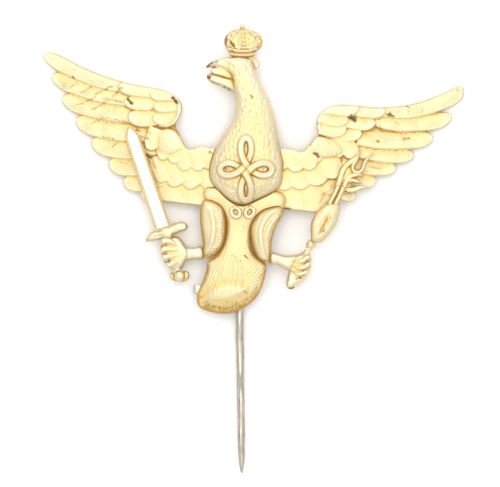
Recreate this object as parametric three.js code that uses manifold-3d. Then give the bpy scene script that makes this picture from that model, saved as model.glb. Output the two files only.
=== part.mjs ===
// Cap badge: a crowned eagle with spread wings, a sword in one claw and a sceptre in the other,
// on a long fixed stick pin. Millimetres, +Z up.
// The badge lies on its back: the face looks along +Z, the crown points along +Y, and "left" and
// "right" are the viewer's left (-X) and right (+X).
// The origin is on the surface that the badge lies on, under the middle of its outline.
// Every front piece is shaped over a flat plane first, and is then draped over the gentle bow that
// lets a cap badge follow a round cap band.
import * as THREE from 'three';
import { mergeVertices } from 'three/addons/utils/BufferGeometryUtils.js';
import Module from 'manifold-3d';

const wasm = await Module();
wasm.setup();

// ---------------------------------------------------------------- driving dimensions
const WING_TIP_X = 31.65; // half of the wing span
const BOW_RISE = 2.6; // how far the middle stands above the wing tips
const BOW_FLAT_X = 4; // half width of the middle, which stays flat
const SHEET = 0.6; // struck sheet brass
const EDGE = 0.45; // height of a struck edge
const GAP = 0.06; // clearance between soldered neighbours
const STRAP_THICK = 0.6;
const STRAP_WIDE = 1.3;
const NEEDLE_RADIUS = 0.66;
const NEEDLE_TIP_RADIUS = 0.54;
const NEEDLE_TIP_Y = -33.8;
const NEEDLE_POINT_LONG = 4.5;
const NEEDLE_TOP_Y = 3.2;
const NEEDLE_LEAN = THREE.MathUtils.degToRad(0.8);
const NEEDLE_Z = STRAP_THICK + GAP + NEEDLE_RADIUS;
const CLAW_GRIP_RADIUS = 0.62; // sword grip and sceptre stick, where a claw holds them
const BLADE_LIFT = 1.5; // the blade and the sceptre lie on the feathers
const GRIP_HEIGHT = 1.1; // axis of the sword grip and the sceptre stick above the bow
const PLATE_THICK = 0.48;

const GILT = { color: 0xdcc37e, roughness: 0.42, metalness: 1 };
const BRIGHT_GILT = { color: 0xf0e0a8, roughness: 0.25, metalness: 1 };
const NICKEL = { color: 0xb9b09a, roughness: 0.38, metalness: 1 };
const SOLDER = { color: 0x8f8c86, roughness: 0.6, metalness: 0.9 };

const badge = new THREE.Group();

// ---------------------------------------------------------------- helpers
function rise(x) {
  return BOW_RISE * Math.min(1, (WING_TIP_X - Math.abs(x)) / (WING_TIP_X - BOW_FLAT_X));
}

function solidOf(geometry) {
  const bare = geometry.clone();
  bare.deleteAttribute('normal');
  bare.deleteAttribute('uv');
  const welded = mergeVertices(bare, 1e-5);
  const triVerts = [];
  const index = welded.index.array;
  for (let i = 0; i < index.length; i += 3) {
    const [a, b, c] = [index[i], index[i + 1], index[i + 2]];
    if (a !== b && b !== c && c !== a) triVerts.push(a, b, c);
  }
  return new wasm.Manifold(new wasm.Mesh({
    numProp: 3,
    vertProperties: new Float32Array(welded.attributes.position.array),
    triVerts: new Uint32Array(triVerts),
  }));
}

function geometryOf(solid) {
  const mesh = solid.getMesh();
  const geometry = new THREE.BufferGeometry();
  geometry.setAttribute('position', new THREE.BufferAttribute(mesh.vertProperties, 3));
  geometry.setIndex(new THREE.BufferAttribute(mesh.triVerts, 1));
  return geometry;
}

// Joins solids and fills the small sealed pockets that crossing ribbons would leave between them.
function union(solids) {
  const joined = solids.reduce((all, next) => all.add(next));
  return joined.decompose().filter((shell) => shell.volume() > 0).reduce((all, next) => all.add(next));
}

function cut(solid, tools) {
  return tools.reduce((rest, tool) => rest.subtract(tool), solid);
}

// Bends a flat-backed solid over the bow of the badge.
function drape(solid) {
  const geometry = geometryOf(solid);
  const position = geometry.attributes.position;
  for (let i = 0; i < position.count; i++) {
    position.setZ(i, position.getZ(i) + rise(position.getX(i)));
  }
  return geometry;
}

function addPiece(name, geometry, finish, parent = badge) {
  const shaded = geometry.index ? geometry.toNonIndexed() : geometry;
  shaded.computeVertexNormals();
  const mesh = new THREE.Mesh(shaded, new THREE.MeshStandardMaterial(finish));
  mesh.name = name;
  parent.add(mesh);
  return mesh;
}

function spline(points) {
  return new THREE.CatmullRomCurve3(
    points.map(([x, y]) => new THREE.Vector3(x, y, 0)), false, 'centripetal');
}

// A closed solid over a grid: top(u, v) and back(u, v) are heights, place(u, v) is the plan.
// u runs from -1 at the left edge to 1 at the right edge, v from 0 to 1 along the piece.
function gridSolid({ place, top, back, stations, across }) {
  const positions = [];
  for (const height of [top, back]) {
    for (let i = 0; i <= stations; i++) {
      for (let j = 0; j <= across; j++) {
        const u = -1 + (2 * j) / across;
        const v = i / stations;
        const point = place(u, v);
        positions.push(point.x, point.y, height(u, v));
      }
    }
  }
  const row = across + 1;
  const below = row * (stations + 1);
  const faces = [];
  const quad = (a, b, c, d) => faces.push(a, b, c, a, c, d);
  for (let i = 0; i < stations; i++) {
    for (let j = 0; j < across; j++) {
      const a = i * row + j;
      quad(a, a + 1, a + row + 1, a + row);
      quad(below + a, below + a + row, below + a + row + 1, below + a + 1);
    }
    const left = i * row;
    const right = left + across;
    quad(left, left + row, below + left + row, below + left);
    quad(right + row, right, below + right, below + right + row);
  }
  for (let j = 0; j < across; j++) {
    const first = j;
    const last = stations * row + j;
    quad(first + 1, first, below + first, below + first + 1);
    quad(last, last + 1, below + last + 1, below + last);
  }
  const geometry = new THREE.BufferGeometry();
  geometry.setAttribute('position', new THREE.Float32BufferAttribute(positions, 3));
  geometry.setIndex(faces);
  const solid = solidOf(geometry);
  return solid.volume() > 0 ? solid : solidOf(flipped(geometry));
}

function flipped(geometry) {
  const faces = Array.from(geometry.index.array);
  for (let i = 0; i < faces.length; i += 3) {
    [faces[i], faces[i + 1]] = [faces[i + 1], faces[i]];
  }
  return geometry.clone().setIndex(faces);
}

// A domed, hollow-backed struck piece between a left and a right edge with matching points.
function dome({ left, right, crown, blunt = 6, base = 0, hollow = true, stations = 12, across = 8 }) {
  const leftEdge = spline(left);
  const rightEdge = spline(right);
  const top = (u, v) => {
    const side = Math.sqrt(Math.max(0, 1 - u * u));
    const end = Math.sqrt(Math.max(0, 1 - Math.abs(2 * v - 1) ** blunt));
    return base + EDGE + crown * side * end;
  };
  return gridSolid({
    place: (u, v) => leftEdge.getPoint(v).lerp(rightEdge.getPoint(v), (u + 1) / 2),
    top,
    back: (u, v) => base + (hollow ? Math.max(0, top(u, v) - base - SHEET) : 0),
    stations,
    across,
  });
}

// The space that a piece with these edges stands in, with clearance: it is cut from its neighbours.
function footprint({ left, right, stations = 12 }) {
  const leftEdge = spline(left);
  const rightEdge = spline(right);
  const reach = 2 * GAP;
  return gridSolid({
    place: (u, v) => {
      const a = leftEdge.getPoint(v);
      const b = rightEdge.getPoint(v);
      const out = b.clone().sub(a).setLength(reach);
      const from = a.sub(out);
      const to = b.add(out);
      const along = rightEdge.getPoint(1).sub(rightEdge.getPoint(0)).setLength(reach);
      const end = v === 0 ? -1 : v === 1 ? 1 : 0;
      return from.lerp(to, (u + 1) / 2).addScaledVector(along, end);
    },
    top: () => 9,
    back: () => -3,
    stations,
    across: 1,
  });
}

// A feather: a blade with a raised shaft line along a bent centre line from root to tip.
function feather({ root, tip, wide, bend = 0, lift = 0, ridge = 0.3 }) {
  const start = new THREE.Vector3(root[0], root[1], 0);
  const end = new THREE.Vector3(tip[0], tip[1], 0);
  const along = end.clone().sub(start);
  const side = new THREE.Vector3(-along.y, along.x, 0).normalize();
  const middle = start.clone().add(end).multiplyScalar(0.5).addScaledVector(side, bend);
  const line = new THREE.QuadraticBezierCurve3(start, middle, end);
  const halfWidth = (v) => (wide / 2) * (0.7 + 0.3 * Math.sin(Math.PI * v)) * Math.sqrt(1.04 - v ** 5);
  return gridSolid({
    place: (u, v) => {
      const t = line.getTangent(v);
      return line.getPoint(v).add(new THREE.Vector3(-t.y, t.x, 0).multiplyScalar(-u * halfWidth(v)));
    },
    top: (u) => EDGE + lift + ridge * (1 - u * u),
    back: () => 0,
    stations: 6,
    across: 2,
  });
}

// A flat bar or disc with a softened face: an extruded outline of few points.
function slab(points, thick, base = 0) {
  const shape = new THREE.Shape(points.map(([x, y]) => new THREE.Vector2(x, y)));
  const geometry = new THREE.ExtrudeGeometry(shape, { depth: thick, bevelEnabled: false });
  return solidOf(geometry.translate(0, 0, base));
}

function roundSlab(points, thick, base = 0, steps = 28) {
  const loop = new THREE.CatmullRomCurve3(
    points.map(([x, y]) => new THREE.Vector3(x, y, 0)), true, 'centripetal');
  return slab(loop.getPoints(steps).slice(0, -1).map((p) => [p.x, p.y]), thick, base);
}

// A half-round strip along a line: ribbons and cords of the ornaments.
function strip(points, wide, thick, { base = () => 0, stations = 24, across = 4 } = {}) {
  const line = spline(points);
  const place = (u, v) => {
    const t = line.getTangent(v);
    return line.getPoint(v).add(new THREE.Vector3(t.y, -t.x, 0).setLength((u * wide) / 2 || 1e-9));
  };
  const low = (u, v) => {
    const point = place(u, v);
    return base(point.x, point.y);
  };
  return gridSolid({
    place,
    top: (u, v) => low(u, v) + thick * (0.45 + 0.55 * Math.sqrt(Math.max(0, 1 - u * u))),
    back: low,
    stations,
    across,
  });
}

function ball(x, y, z, radius, squash = 1) {
  const geometry = new THREE.SphereGeometry(radius, 14, 10);
  return solidOf(geometry.scale(1, 1, squash).translate(x, y, z));
}

// A round bar between two points at one height.
function rod(from, to, radiusFrom, radiusTo, height, sides = 12) {
  const start = new THREE.Vector3(from[0], from[1], height);
  const end = new THREE.Vector3(to[0], to[1], height);
  const along = end.clone().sub(start);
  const geometry = new THREE.CylinderGeometry(radiusTo, radiusFrom, along.length(), sides);
  geometry.translate(0, along.length() / 2, 0);
  geometry.applyQuaternion(
    new THREE.Quaternion().setFromUnitVectors(new THREE.Vector3(0, 1, 0), along.normalize()));
  return solidOf(geometry.translate(start.x, start.y, start.z));
}

// ---------------------------------------------------------------- outlines that neighbours share
const BODY = {
  left: [[-3.1, 6.5], [-5.5, 8.7], [-6.7, 11.2], [-6.1, 14.2], [-4.4, 17.4], [-2.9, 20],
    [-2.7, 22.5], [-3.1, 25], [-3.7, 27.2], [-2.7, 28.7]],
  right: [[0.3, 6.9], [3.9, 9.2], [4.35, 11.8], [4, 14.9], [3.5, 18], [2.8, 21.2],
    [1.9, 23.4], [0.9, 25.6], [0.2, 27.4], [-0.8, 28.7]],
  stations: 16,
};
const LEFT_THIGH = {
  left: [[-6.7, 7.3], [-7.9, 6.2], [-8, 3.6], [-7.8, 1.2], [-7.6, -0.9]],
  right: [[-6.1, 7.2], [-4.8, 6], [-4.3, 3.6], [-4.7, 1], [-6.9, -1.3]],
  stations: 9,
};
const RIGHT_THIGH = {
  left: [[2.2, 6.5], [0.4, 5.4], [-0.5, 3.2], [-0.3, 0.2], [1, -2.1]],
  right: [[3, 6.5], [4.3, 5.3], [3.5, 3], [2.6, 0.7], [1.7, -2.1]],
  stations: 9,
};
const bodySpace = footprint(BODY);
const leftThighSpace = footprint(LEFT_THIGH);
const rightThighSpace = footprint(RIGHT_THIGH);

// ---------------------------------------------------------------- body, head and beak
const upperBeak = dome({
  left: [[-3.2, 28.9], [-5.1, 28.4], [-7.2, 27.6]],
  right: [[-3, 25.7], [-5, 26.7], [-7.1, 26.9]],
  crown: 1.5, blunt: 8, hollow: false, stations: 5, across: 4,
});
const lowerBeak = dome({
  left: [[-2.9, 25.4], [-4.8, 25.7], [-7, 26.05]],
  right: [[-2.7, 23.4], [-4.8, 24.4], [-6.9, 25.1]],
  crown: 1, blunt: 8, hollow: false, stations: 5, across: 4,
});
const torso = dome({ ...BODY, crown: 3.9, blunt: 5, across: 10 });
addPiece('body_shell', drape(union([torso, upperBeak, lowerBeak])), GILT);

// ---------------------------------------------------------------- wings
// Long primaries first: each overlaps the one below it. Then the coverts in rows.
function wing({ web, primaries, coverts, bulges }) {
  const blades = primaries.map(({ root, tip, wide, bend }, i) => feather({
    root, tip, wide, bend, lift: 0.08 * (primaries.length - i),
  }));
  const scales = coverts.map(([root, tip, wide]) => feather({ root, tip, wide, lift: 0.5 }));
  const domes = bulges.map((bulge) => dome({ ...bulge, hollow: false, stations: 5, across: 4 }));
  const solid = union([slab(web, EDGE), ...blades, ...scales, ...domes]);
  return drape(cut(solid, [bodySpace, leftThighSpace, rightThighSpace]));
}

const leftWing = wing({
  web: [[-21.2, 25.4], [-17.4, 24.4], [-13, 23.5], [-10.9, 21.6], [-11.1, 19.8], [-12.1, 18.2],
    [-10.9, 16.4], [-9.7, 15.1], [-8.1, 15.6], [-3.9, 14.9], [-3.3, 9.5], [-7.4, 7.1], [-13.2, 6.9],
    [-17, 9.2], [-19.6, 12.6], [-22, 16.5], [-23.6, 20.5], [-25.2, 24.4], [-25.4, 26.6]],
  primaries: [
    { root: [-17, 23.2], tip: [-31.45, 29.3], wide: 3.2, bend: 0.9 },
    { root: [-17, 22], tip: [-30.1, 25.8], wide: 3.4, bend: 0.8 },
    { root: [-16.8, 20.6], tip: [-28.4, 22.2], wide: 3.6, bend: 0.8 },
    { root: [-16.4, 19], tip: [-26.4, 19.2], wide: 3.5, bend: 0.8 },
    { root: [-15.8, 17.2], tip: [-24.1, 15.9], wide: 3.4, bend: 0.8 },
    { root: [-15, 15.2], tip: [-21.8, 12.9], wide: 3.2, bend: 0.7 },
    { root: [-13.8, 12.8], tip: [-19.4, 10.2], wide: 3.2, bend: 0.7 },
    { root: [-12.8, 10.8], tip: [-16.8, 8.7], wide: 2.8, bend: 0.5 },
  ],
  coverts: [
    [[-15.6, 23.2], [-20.2, 23.9], 2.4], [[-15, 21.5], [-19.2, 22], 2.4],
    [[-14.4, 19.6], [-18, 19.9], 2.6], [[-14.2, 15.5], [-16.4, 13.4], 2.4],
    [[-11.8, 14.6], [-13.4, 10.6], 3], [[-9.4, 14.4], [-10.1, 9.8], 3.2],
    [[-7, 14.2], [-6.9, 9.8], 3.2], [[-13.4, 10.8], [-12.7, 6.9], 2.6],
    [[-11, 10.2], [-10.2, 6.8], 2.8], [[-8.4, 10], [-7.6, 6.8], 2.8],
  ],
  bulges: [
    {
      left: [[-16.2, 24.3], [-16.3, 21], [-15.2, 18.5]],
      right: [[-12.6, 23.5], [-10.8, 21.2], [-12.2, 18.2]],
      crown: 1, blunt: 4,
    },
    {
      left: [[-12.6, 18.2], [-14.6, 16.2], [-13.6, 14.2]],
      right: [[-11.4, 17.6], [-10.4, 15.6], [-11.2, 14]],
      crown: 1, blunt: 4,
    },
  ],
});
const rightWing = wing({
  web: [[24.8, 21.8], [21.1, 21.2], [15.4, 21.1], [12.5, 21.5], [10.4, 20.6], [9.6, 19.4], [9.5, 17.3],
    [8.3, 16], [7.8, 14.9], [5.8, 15.2], [1.2, 14.9], [1.8, 8], [4.7, 6.1], [9.1, 6.1],
    [13.6, 7.4], [16.9, 10], [20, 12.4], [23, 15.4], [26.2, 18.4], [27.6, 21]],
  primaries: [
    { root: [17.2, 19.9], tip: [31.55, 23.7], wide: 3, bend: -1.3 },
    { root: [17, 18.6], tip: [29.3, 19.9], wide: 3.2, bend: -1 },
    { root: [16.4, 17.2], tip: [26.7, 16.9], wide: 3.2, bend: -0.9 },
    { root: [15.4, 15.6], tip: [23.6, 14.2], wide: 3.2, bend: -0.9 },
    { root: [14.2, 13.9], tip: [20.7, 12.1], wide: 3, bend: -0.8 },
    { root: [12.8, 12.1], tip: [17.6, 10.1], wide: 2.8, bend: -0.7 },
    { root: [11.2, 10.3], tip: [14.7, 8], wide: 2.6, bend: -0.5 },
  ],
  coverts: [
    [[14.6, 20.6], [19.6, 20.4], 2.2], [[13.6, 19], [17.8, 18.6], 2.2],
    [[12, 17.4], [15.9, 16.8], 2.2], [[12.4, 14.2], [13.8, 11.2], 2.2],
    [[10.4, 13.6], [11.8, 9.8], 2.6], [[7.8, 13.6], [8.9, 9.2], 3],
    [[5.2, 13.6], [5.6, 9], 3], [[10.4, 9.6], [10.6, 6.4], 2.6],
    [[7.8, 9.4], [7.6, 5.8], 2.8], [[5.3, 9.2], [4.9, 5.8], 2.6],
  ],
  bulges: [
    { left: [[9.9, 16.6], [9.5, 19], [11.2, 21.2]], right: [[13.4, 16.2], [13.8, 19], [14.2, 21.4]],
      crown: 1, blunt: 4 },
    { left: [[9.6, 12.9], [8, 14.6], [8.8, 16.6]], right: [[12.6, 13.4], [12.8, 15.2], [10.4, 16.8]],
      crown: 1, blunt: 4 },
  ],
});
addPiece('left_wing', leftWing, GILT);
addPiece('right_wing', rightWing, GILT);

// ---------------------------------------------------------------- tail and thighs
const TAIL = {
  left: [[-6.5, -9.35], [-8.5, -7.6], [-7.6, -3.8], [-6.2, -0.6], [-5.4, 2], [-5, 4.5], [-4.6, 7.2]],
  right: [[-3.4, -9.4], [0.9, -6], [1.7, -2.8], [0.9, -0.4], [0.1, 2], [0.3, 4.5], [1.2, 7.2]],
};
const tail = cut(
  dome({ ...TAIL, crown: 3.2, blunt: 7, stations: 12, across: 8 }),
  [bodySpace, leftThighSpace, rightThighSpace]);
addPiece('tail', drape(tail), GILT);
const leftThigh = cut(dome({ ...LEFT_THIGH, crown: 2.7, blunt: 4, across: 6 }), [bodySpace]);
const rightThigh = cut(dome({ ...RIGHT_THIGH, crown: 2.7, blunt: 4, across: 6 }), [bodySpace]);
addPiece('left_thigh', drape(leftThigh), GILT);
addPiece('right_thigh', drape(rightThigh), GILT);

// ---------------------------------------------------------------- claws
// A shank, a fist and four toes closed round a grip that passes through the fist.
function claw({ shank, fist, toes, gripFrom, gripTo }) {
  const bar = dome({ ...shank, crown: 0.9, blunt: 12, hollow: false, stations: 4, across: 4 });
  const palm = dome({ ...fist, crown: 1.9, blunt: 5, hollow: false, stations: 6, across: 6 });
  const knuckles = toes.map((line) => strip(line, 0.95, 2.7, { stations: 5, across: 2 }));
  const clearance = CLAW_GRIP_RADIUS + 2 * GAP;
  const channel = rod(gripFrom, gripTo, clearance, clearance, GRIP_HEIGHT);
  return cut(union([bar, palm, ...knuckles]), [channel]);
}

const SWORD_GUARD = [-13.35, 2.36];
const SWORD_AXIS = new THREE.Vector2(0.322, -0.947); // from the point towards the pommel
const swordAt = (distance) => [
  SWORD_GUARD[0] + SWORD_AXIS.x * distance, SWORD_GUARD[1] + SWORD_AXIS.y * distance];
const POMMEL_DISTANCE = 6.75;
const SCEPTRE_KNOP = [8.52, 0.64];
const SCEPTRE_AXIS = new THREE.Vector2(-0.447, -0.894); // from the knop down through the claw
const sceptreAt = (distance) => [
  SCEPTRE_KNOP[0] + SCEPTRE_AXIS.x * distance, SCEPTRE_KNOP[1] + SCEPTRE_AXIS.y * distance];
const STICK_LONG = 6.1;

const leftClaw = claw({
  shank: {
    left: [[-7.95, 0.2], [-9.3, 0.2], [-11.2, 0.9]],
    right: [[-7.95, -1.4], [-9.2, -1.6], [-11, -2.2]],
  },
  fist: {
    left: [[-13.6, 1.75], [-14.2, 0.6], [-13.8, -1.2], [-12.9, -2.7]],
    right: [[-11.7, 1.75], [-10.7, 0.8], [-10.4, -1.2], [-11.1, -2.9]],
  },
  toes: [
    [[-11.3, 1.1], [-12.6, 1.5], [-14, 1.2]], [[-11.2, 0.1], [-12.8, 0.4], [-14.3, 0]],
    [[-11.1, -1], [-12.7, -0.9], [-13.9, -1.3]], [[-11, -2.1], [-12.2, -2.2], [-13.2, -2.7]],
  ],
  gripFrom: swordAt(0),
  gripTo: swordAt(POMMEL_DISTANCE),
});
const rightClaw = claw({
  shank: {
    left: [[2.9, -0.4], [4.2, -0.7], [5.6, -0.9], [6.8, -0.7]],
    right: [[2.7, -2.2], [3.9, -2.6], [5.1, -3.1], [6.2, -3.6]],
  },
  fist: {
    left: [[5.7, -0.9], [5.3, -2.6], [4.9, -4.6], [4.9, -5.9]],
    right: [[8.2, -0.75], [8.4, -2.4], [7.6, -4.4], [6.1, -6]],
  },
  toes: [
    [[6, -1.3], [7.4, -1.1], [8.5, -1.3]], [[5.8, -2.5], [7.2, -2.3], [8.4, -2.8]],
    [[5.4, -3.7], [6.8, -3.7], [7.9, -4.1]], [[5.2, -4.9], [6.1, -5.1], [7, -5.4]],
  ],
  gripFrom: sceptreAt(0),
  gripTo: sceptreAt(STICK_LONG + 2),
});
addPiece('left_claw', drape(cut(leftClaw, [leftThighSpace])), GILT);
addPiece('right_claw', drape(cut(rightClaw, [rightThighSpace])), GILT);

// ---------------------------------------------------------------- sword
const swordBlade = dome({
  left: [[-18.75, 18.2], [-19.15, 17], [-18.6, 14], [-17.2, 10.6], [-15.9, 7], [-15, 3.6]],
  right: [[-18.35, 18.3], [-17, 16.4], [-16, 13.2], [-14.9, 10.4], [-13.6, 7], [-12.7, 4.2]],
  base: BLADE_LIFT, crown: 0.35, blunt: 20, hollow: false, stations: 10, across: 4,
});
const swordGuard = roundSlab([
  [-16.2, 1.3], [-16.3, 1.9], [-15.6, 2.4], [-14.2, 2.7], [-13.2, 3.05], [-11.7, 3.7], [-10.5, 4.15],
  [-10.05, 3.5], [-10.6, 2.7], [-11.9, 2.2], [-13.2, 2.05], [-14.8, 1.35]], 1.7, 0.5);
const gripStart = swordAt(1);
const gripEnd = swordAt(POMMEL_DISTANCE - 0.85);
addPiece('sword_blade', drape(swordBlade), BRIGHT_GILT);
addPiece('sword_guard', drape(swordGuard), GILT);
addPiece('sword_grip', drape(
  rod(gripStart, gripEnd, CLAW_GRIP_RADIUS, CLAW_GRIP_RADIUS, GRIP_HEIGHT)), GILT);
// The pommel is a ball with a flat lobe on either side, which stays clear of the end of the grip.
const gripClearance = CLAW_GRIP_RADIUS + GAP;
const gripSpace = rod(
  gripStart, swordAt(POMMEL_DISTANCE - 0.79), gripClearance, gripClearance, GRIP_HEIGHT);
const pommelLobes = roundSlab([
  [-12.6, -3.7], [-12.4, -4.4], [-11.5, -4.8], [-10.4, -4.75], [-9.8, -4.2],
  [-9.9, -3.5], [-10.6, -3.2], [-11.9, -3.2]], 1.1, 0.55);
const pommelBall = ball(...swordAt(POMMEL_DISTANCE), GRIP_HEIGHT, 0.78);
addPiece('sword_pommel', drape(union([pommelBall, cut(pommelLobes, [gripSpace])])), GILT);

// ---------------------------------------------------------------- sceptre
const sceptreBulb = dome({
  left: [[8.95, 1.6], [8.5, 2.9], [8.6, 4.3], [9.3, 5.6], [10.6, 6.7]],
  right: [[10.1, 1.4], [11.25, 2.6], [12.15, 4.1], [12.7, 5.4], [12.45, 6.6]],
  base: BLADE_LIFT, crown: 1, blunt: 6, hollow: false, stations: 8, across: 6,
});
// Leaves and ribbons of the sceptre's head: centre line, width, thickness, stations.
const finialBase = () => BLADE_LIFT;
const sceptreHead = union([
  [[[13.2, 11.6], [13.9, 12.8], [15, 13.6], [16.1, 14.8]], 0.75, 0.9, 8],
  [[[14.1, 11.6], [15.2, 11.2], [16.3, 11.8], [16.8, 13.2], [17.8, 14.1]], 0.7, 0.9, 10],
  [[[13.3, 9.6], [14.4, 9.1], [15.8, 9.4], [17, 9.6]], 1, 0.9, 8],
  [[[12.9, 10.2], [13.5, 11.4], [14.5, 12.3]], 1.6, 1.1, 6],
  [[[13.2, 9.3], [13.6, 10.6], [14.3, 11.9]], 1.3, 1, 6],
].map(([line, wide, thick, stations]) =>
  strip(line, wide, thick, { base: finialBase, stations, across: 2 })));
const knop = ball(...SCEPTRE_KNOP, GRIP_HEIGHT, 0.72);
addPiece('sceptre_knop', drape(knop), GILT);
addPiece('sceptre_bulb', drape(sceptreBulb), GILT);
addPiece('sceptre_shaft', drape(
  rod([11.6, 7.3], [12.4, 8.95], 0.55, 0.5, BLADE_LIFT + 0.55)), GILT);
addPiece('sceptre_head', drape(sceptreHead), GILT);
addPiece('sceptre_stick', drape(
  rod(sceptreAt(1), sceptreAt(STICK_LONG), CLAW_GRIP_RADIUS, CLAW_GRIP_RADIUS, GRIP_HEIGHT)), GILT);

// ---------------------------------------------------------------- crown
const crownCap = dome({
  left: [[-3.7, 30], [-4.4, 31.2], [-4, 32.3], [-2.6, 32.9]],
  right: [[0.3, 30], [1.25, 31.2], [0.6, 32.3], [-0.9, 32.9]],
  crown: 1.7, blunt: 3, stations: 8, across: 8,
});
const crownBand = dome({
  left: [[-3.75, 28.95], [-3.8, 29.4], [-3.75, 29.9]],
  right: [[-0.1, 28.95], [0.1, 29.4], [0.2, 29.9]],
  crown: 1.5, blunt: 8, stations: 2, across: 8,
});
const ribbonEnd = strip([[0.3, 28.8], [0.85, 28], [0.75, 27.1], [0.9, 26.4]], 0.55, 0.9, { stations: 8 });
addPiece('crown_cap', drape(crownCap), GILT);
addPiece('crown_band', drape(crownBand), GILT);
addPiece('crown_orb', drape(ball(-1.77, 33.38, 0.8, 0.41)), GILT);
addPiece('crown_ribbon', drape(cut(ribbonEnd, [bodySpace])), GILT);

// ---------------------------------------------------------------- ornament on the breast
// The height of the breast at a place, from the same edges and crown as the body's own dome.
function heightOn({ left, right, crown, blunt }) {
  const leftEdge = spline(left);
  const rightEdge = spline(right);
  const rows = 240;
  return (x, y) => {
    let best = 0;
    let nearest = Infinity;
    for (let i = 0; i <= rows; i++) {
      const v = i / rows;
      const a = leftEdge.getPoint(v);
      const b = rightEdge.getPoint(v);
      const t = (x - a.x) / (b.x - a.x);
      const off = Math.abs(a.y + (b.y - a.y) * t - y);
      if (t <= 0 || t >= 1 || off > nearest) continue;
      const u = 2 * t - 1;
      const side = Math.sqrt(1 - u * u);
      const end = Math.sqrt(Math.max(0, 1 - Math.abs(2 * v - 1) ** blunt));
      nearest = off;
      best = EDGE + crown * side * end;
    }
    return best;
  };
}
const KNOT_LIFT = 0.16;
const breast = heightOn({ ...BODY, crown: 3.9, blunt: 5 });
const throat = heightOn({ ...TAIL, crown: 3.2, blunt: 7 });
const onBreast = (x, y) => Math.max(breast(x, y), 1.2) + KNOT_LIFT;
const onThroat = (x, y) => Math.max(throat(x, y), breast(x, y)) + KNOT_LIFT;

const KNOT_CENTRE = [-1.2, 11.9];
const KNOT_HALF = [3.9, 4.65]; // half width and half height of the ribbon's middle line
const KNOT_LEAF = 0.8; // 0 gives a plain ring, 1 four leaves that meet in one point
const KNOT_RIBBON = 1.1;
const KNOT_THICK = 0.7;
const LOOP_CENTRE_Y = 5.55;
const LOOP_HALF = [0.62, 0.7];
const LOOP_RIBBON = 0.5;
// A four-leaved endless ribbon, drawn in four runs that cross their neighbours.
const knotRun = (quarter) => {
  const points = [];
  for (let i = 0; i <= 12; i++) {
    const t = (Math.PI / 2) * (quarter + i / 12);
    const reach = 1 + KNOT_LEAF;
    points.push([
      KNOT_CENTRE[0] + KNOT_HALF[0] * (Math.cos(t) + KNOT_LEAF * Math.cos(3 * t)) / reach,
      KNOT_CENTRE[1] + KNOT_HALF[1] * (Math.sin(t) - KNOT_LEAF * Math.sin(3 * t)) / reach,
    ]);
  }
  return strip(points, KNOT_RIBBON, KNOT_THICK, { base: onBreast, stations: 14, across: 2 });
};
addPiece('breast_knot', drape(union([0, 1, 2, 3].map(knotRun))), GILT);
for (const [name, x] of [['left_knot_loop', -2.75], ['right_knot_loop', -0.65]]) {
  const ring = [0, 1].map((half) => {
    const points = [];
    for (let i = 0; i <= 6; i++) {
      const t = Math.PI * (half + i / 6);
      points.push([x + LOOP_HALF[0] * Math.cos(t), LOOP_CENTRE_Y + LOOP_HALF[1] * Math.sin(t)]);
    }
    return strip(points, LOOP_RIBBON, LOOP_RIBBON, { base: onThroat, stations: 6, across: 2 });
  });
  addPiece(name, drape(union(ring)), GILT);
}

// ---------------------------------------------------------------- stick pin on the back
// The needle leans by under a degree and stands on the strap; its point is a blunt ogive.
const needleLong = NEEDLE_TOP_Y - NEEDLE_TIP_Y;
const profile = [[0, 0]];
for (let i = 1; i <= 5; i++) {
  const t = i / 5;
  profile.push([NEEDLE_TIP_RADIUS * Math.sin((Math.PI / 2) * t), NEEDLE_POINT_LONG * t * t]);
}
profile.push([NEEDLE_RADIUS, needleLong - 18], [NEEDLE_RADIUS, needleLong], [0, needleLong]);
const needleGeometry = new THREE.LatheGeometry(profile.map(([r, y]) => new THREE.Vector2(r, y)), 16);
const pinGroup = new THREE.Group();
pinGroup.position.set(-1.8, NEEDLE_TIP_Y, NEEDLE_Z);
pinGroup.rotation.z = NEEDLE_LEAN;
badge.add(pinGroup);
addPiece('pin_needle', geometryOf(solidOf(needleGeometry)), NICKEL, pinGroup);

// A saddle is soldered round the needle under the plate.
const SADDLE_RADIUS = NEEDLE_RADIUS + 0.42;
const SADDLE_LONG = 2.4;
const SADDLE_FROM = needleLong - 3;
const plateUnder = BOW_RISE - GAP - PLATE_THICK;
const saddleTube = rod(
  [0, SADDLE_FROM], [0, SADDLE_FROM + SADDLE_LONG], SADDLE_RADIUS, SADDLE_RADIUS, 0, 20);
const saddleBore = rod([0, SADDLE_FROM - 1], [0, SADDLE_FROM + SADDLE_LONG + 1],
  NEEDLE_RADIUS + GAP, NEEDLE_RADIUS + GAP, 0, 16);
const aboveSaddle = slab([[-3, 0], [3, 0], [3, 60], [-3, 60]], 3, plateUnder - GAP - NEEDLE_Z);
addPiece('needle_saddle', geometryOf(cut(saddleTube, [saddleBore, aboveSaddle])), SOLDER, pinGroup);

const pinPlate = roundSlab(
  [[-4.9, -1.2], [-4.9, 3.8], [-2.2, 4.6], [0.5, 3.8], [0.5, -1.2], [-2.2, -2]], PLATE_THICK, plateUnder);
addPiece('pin_plate', geometryOf(pinPlate), SOLDER);

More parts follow.
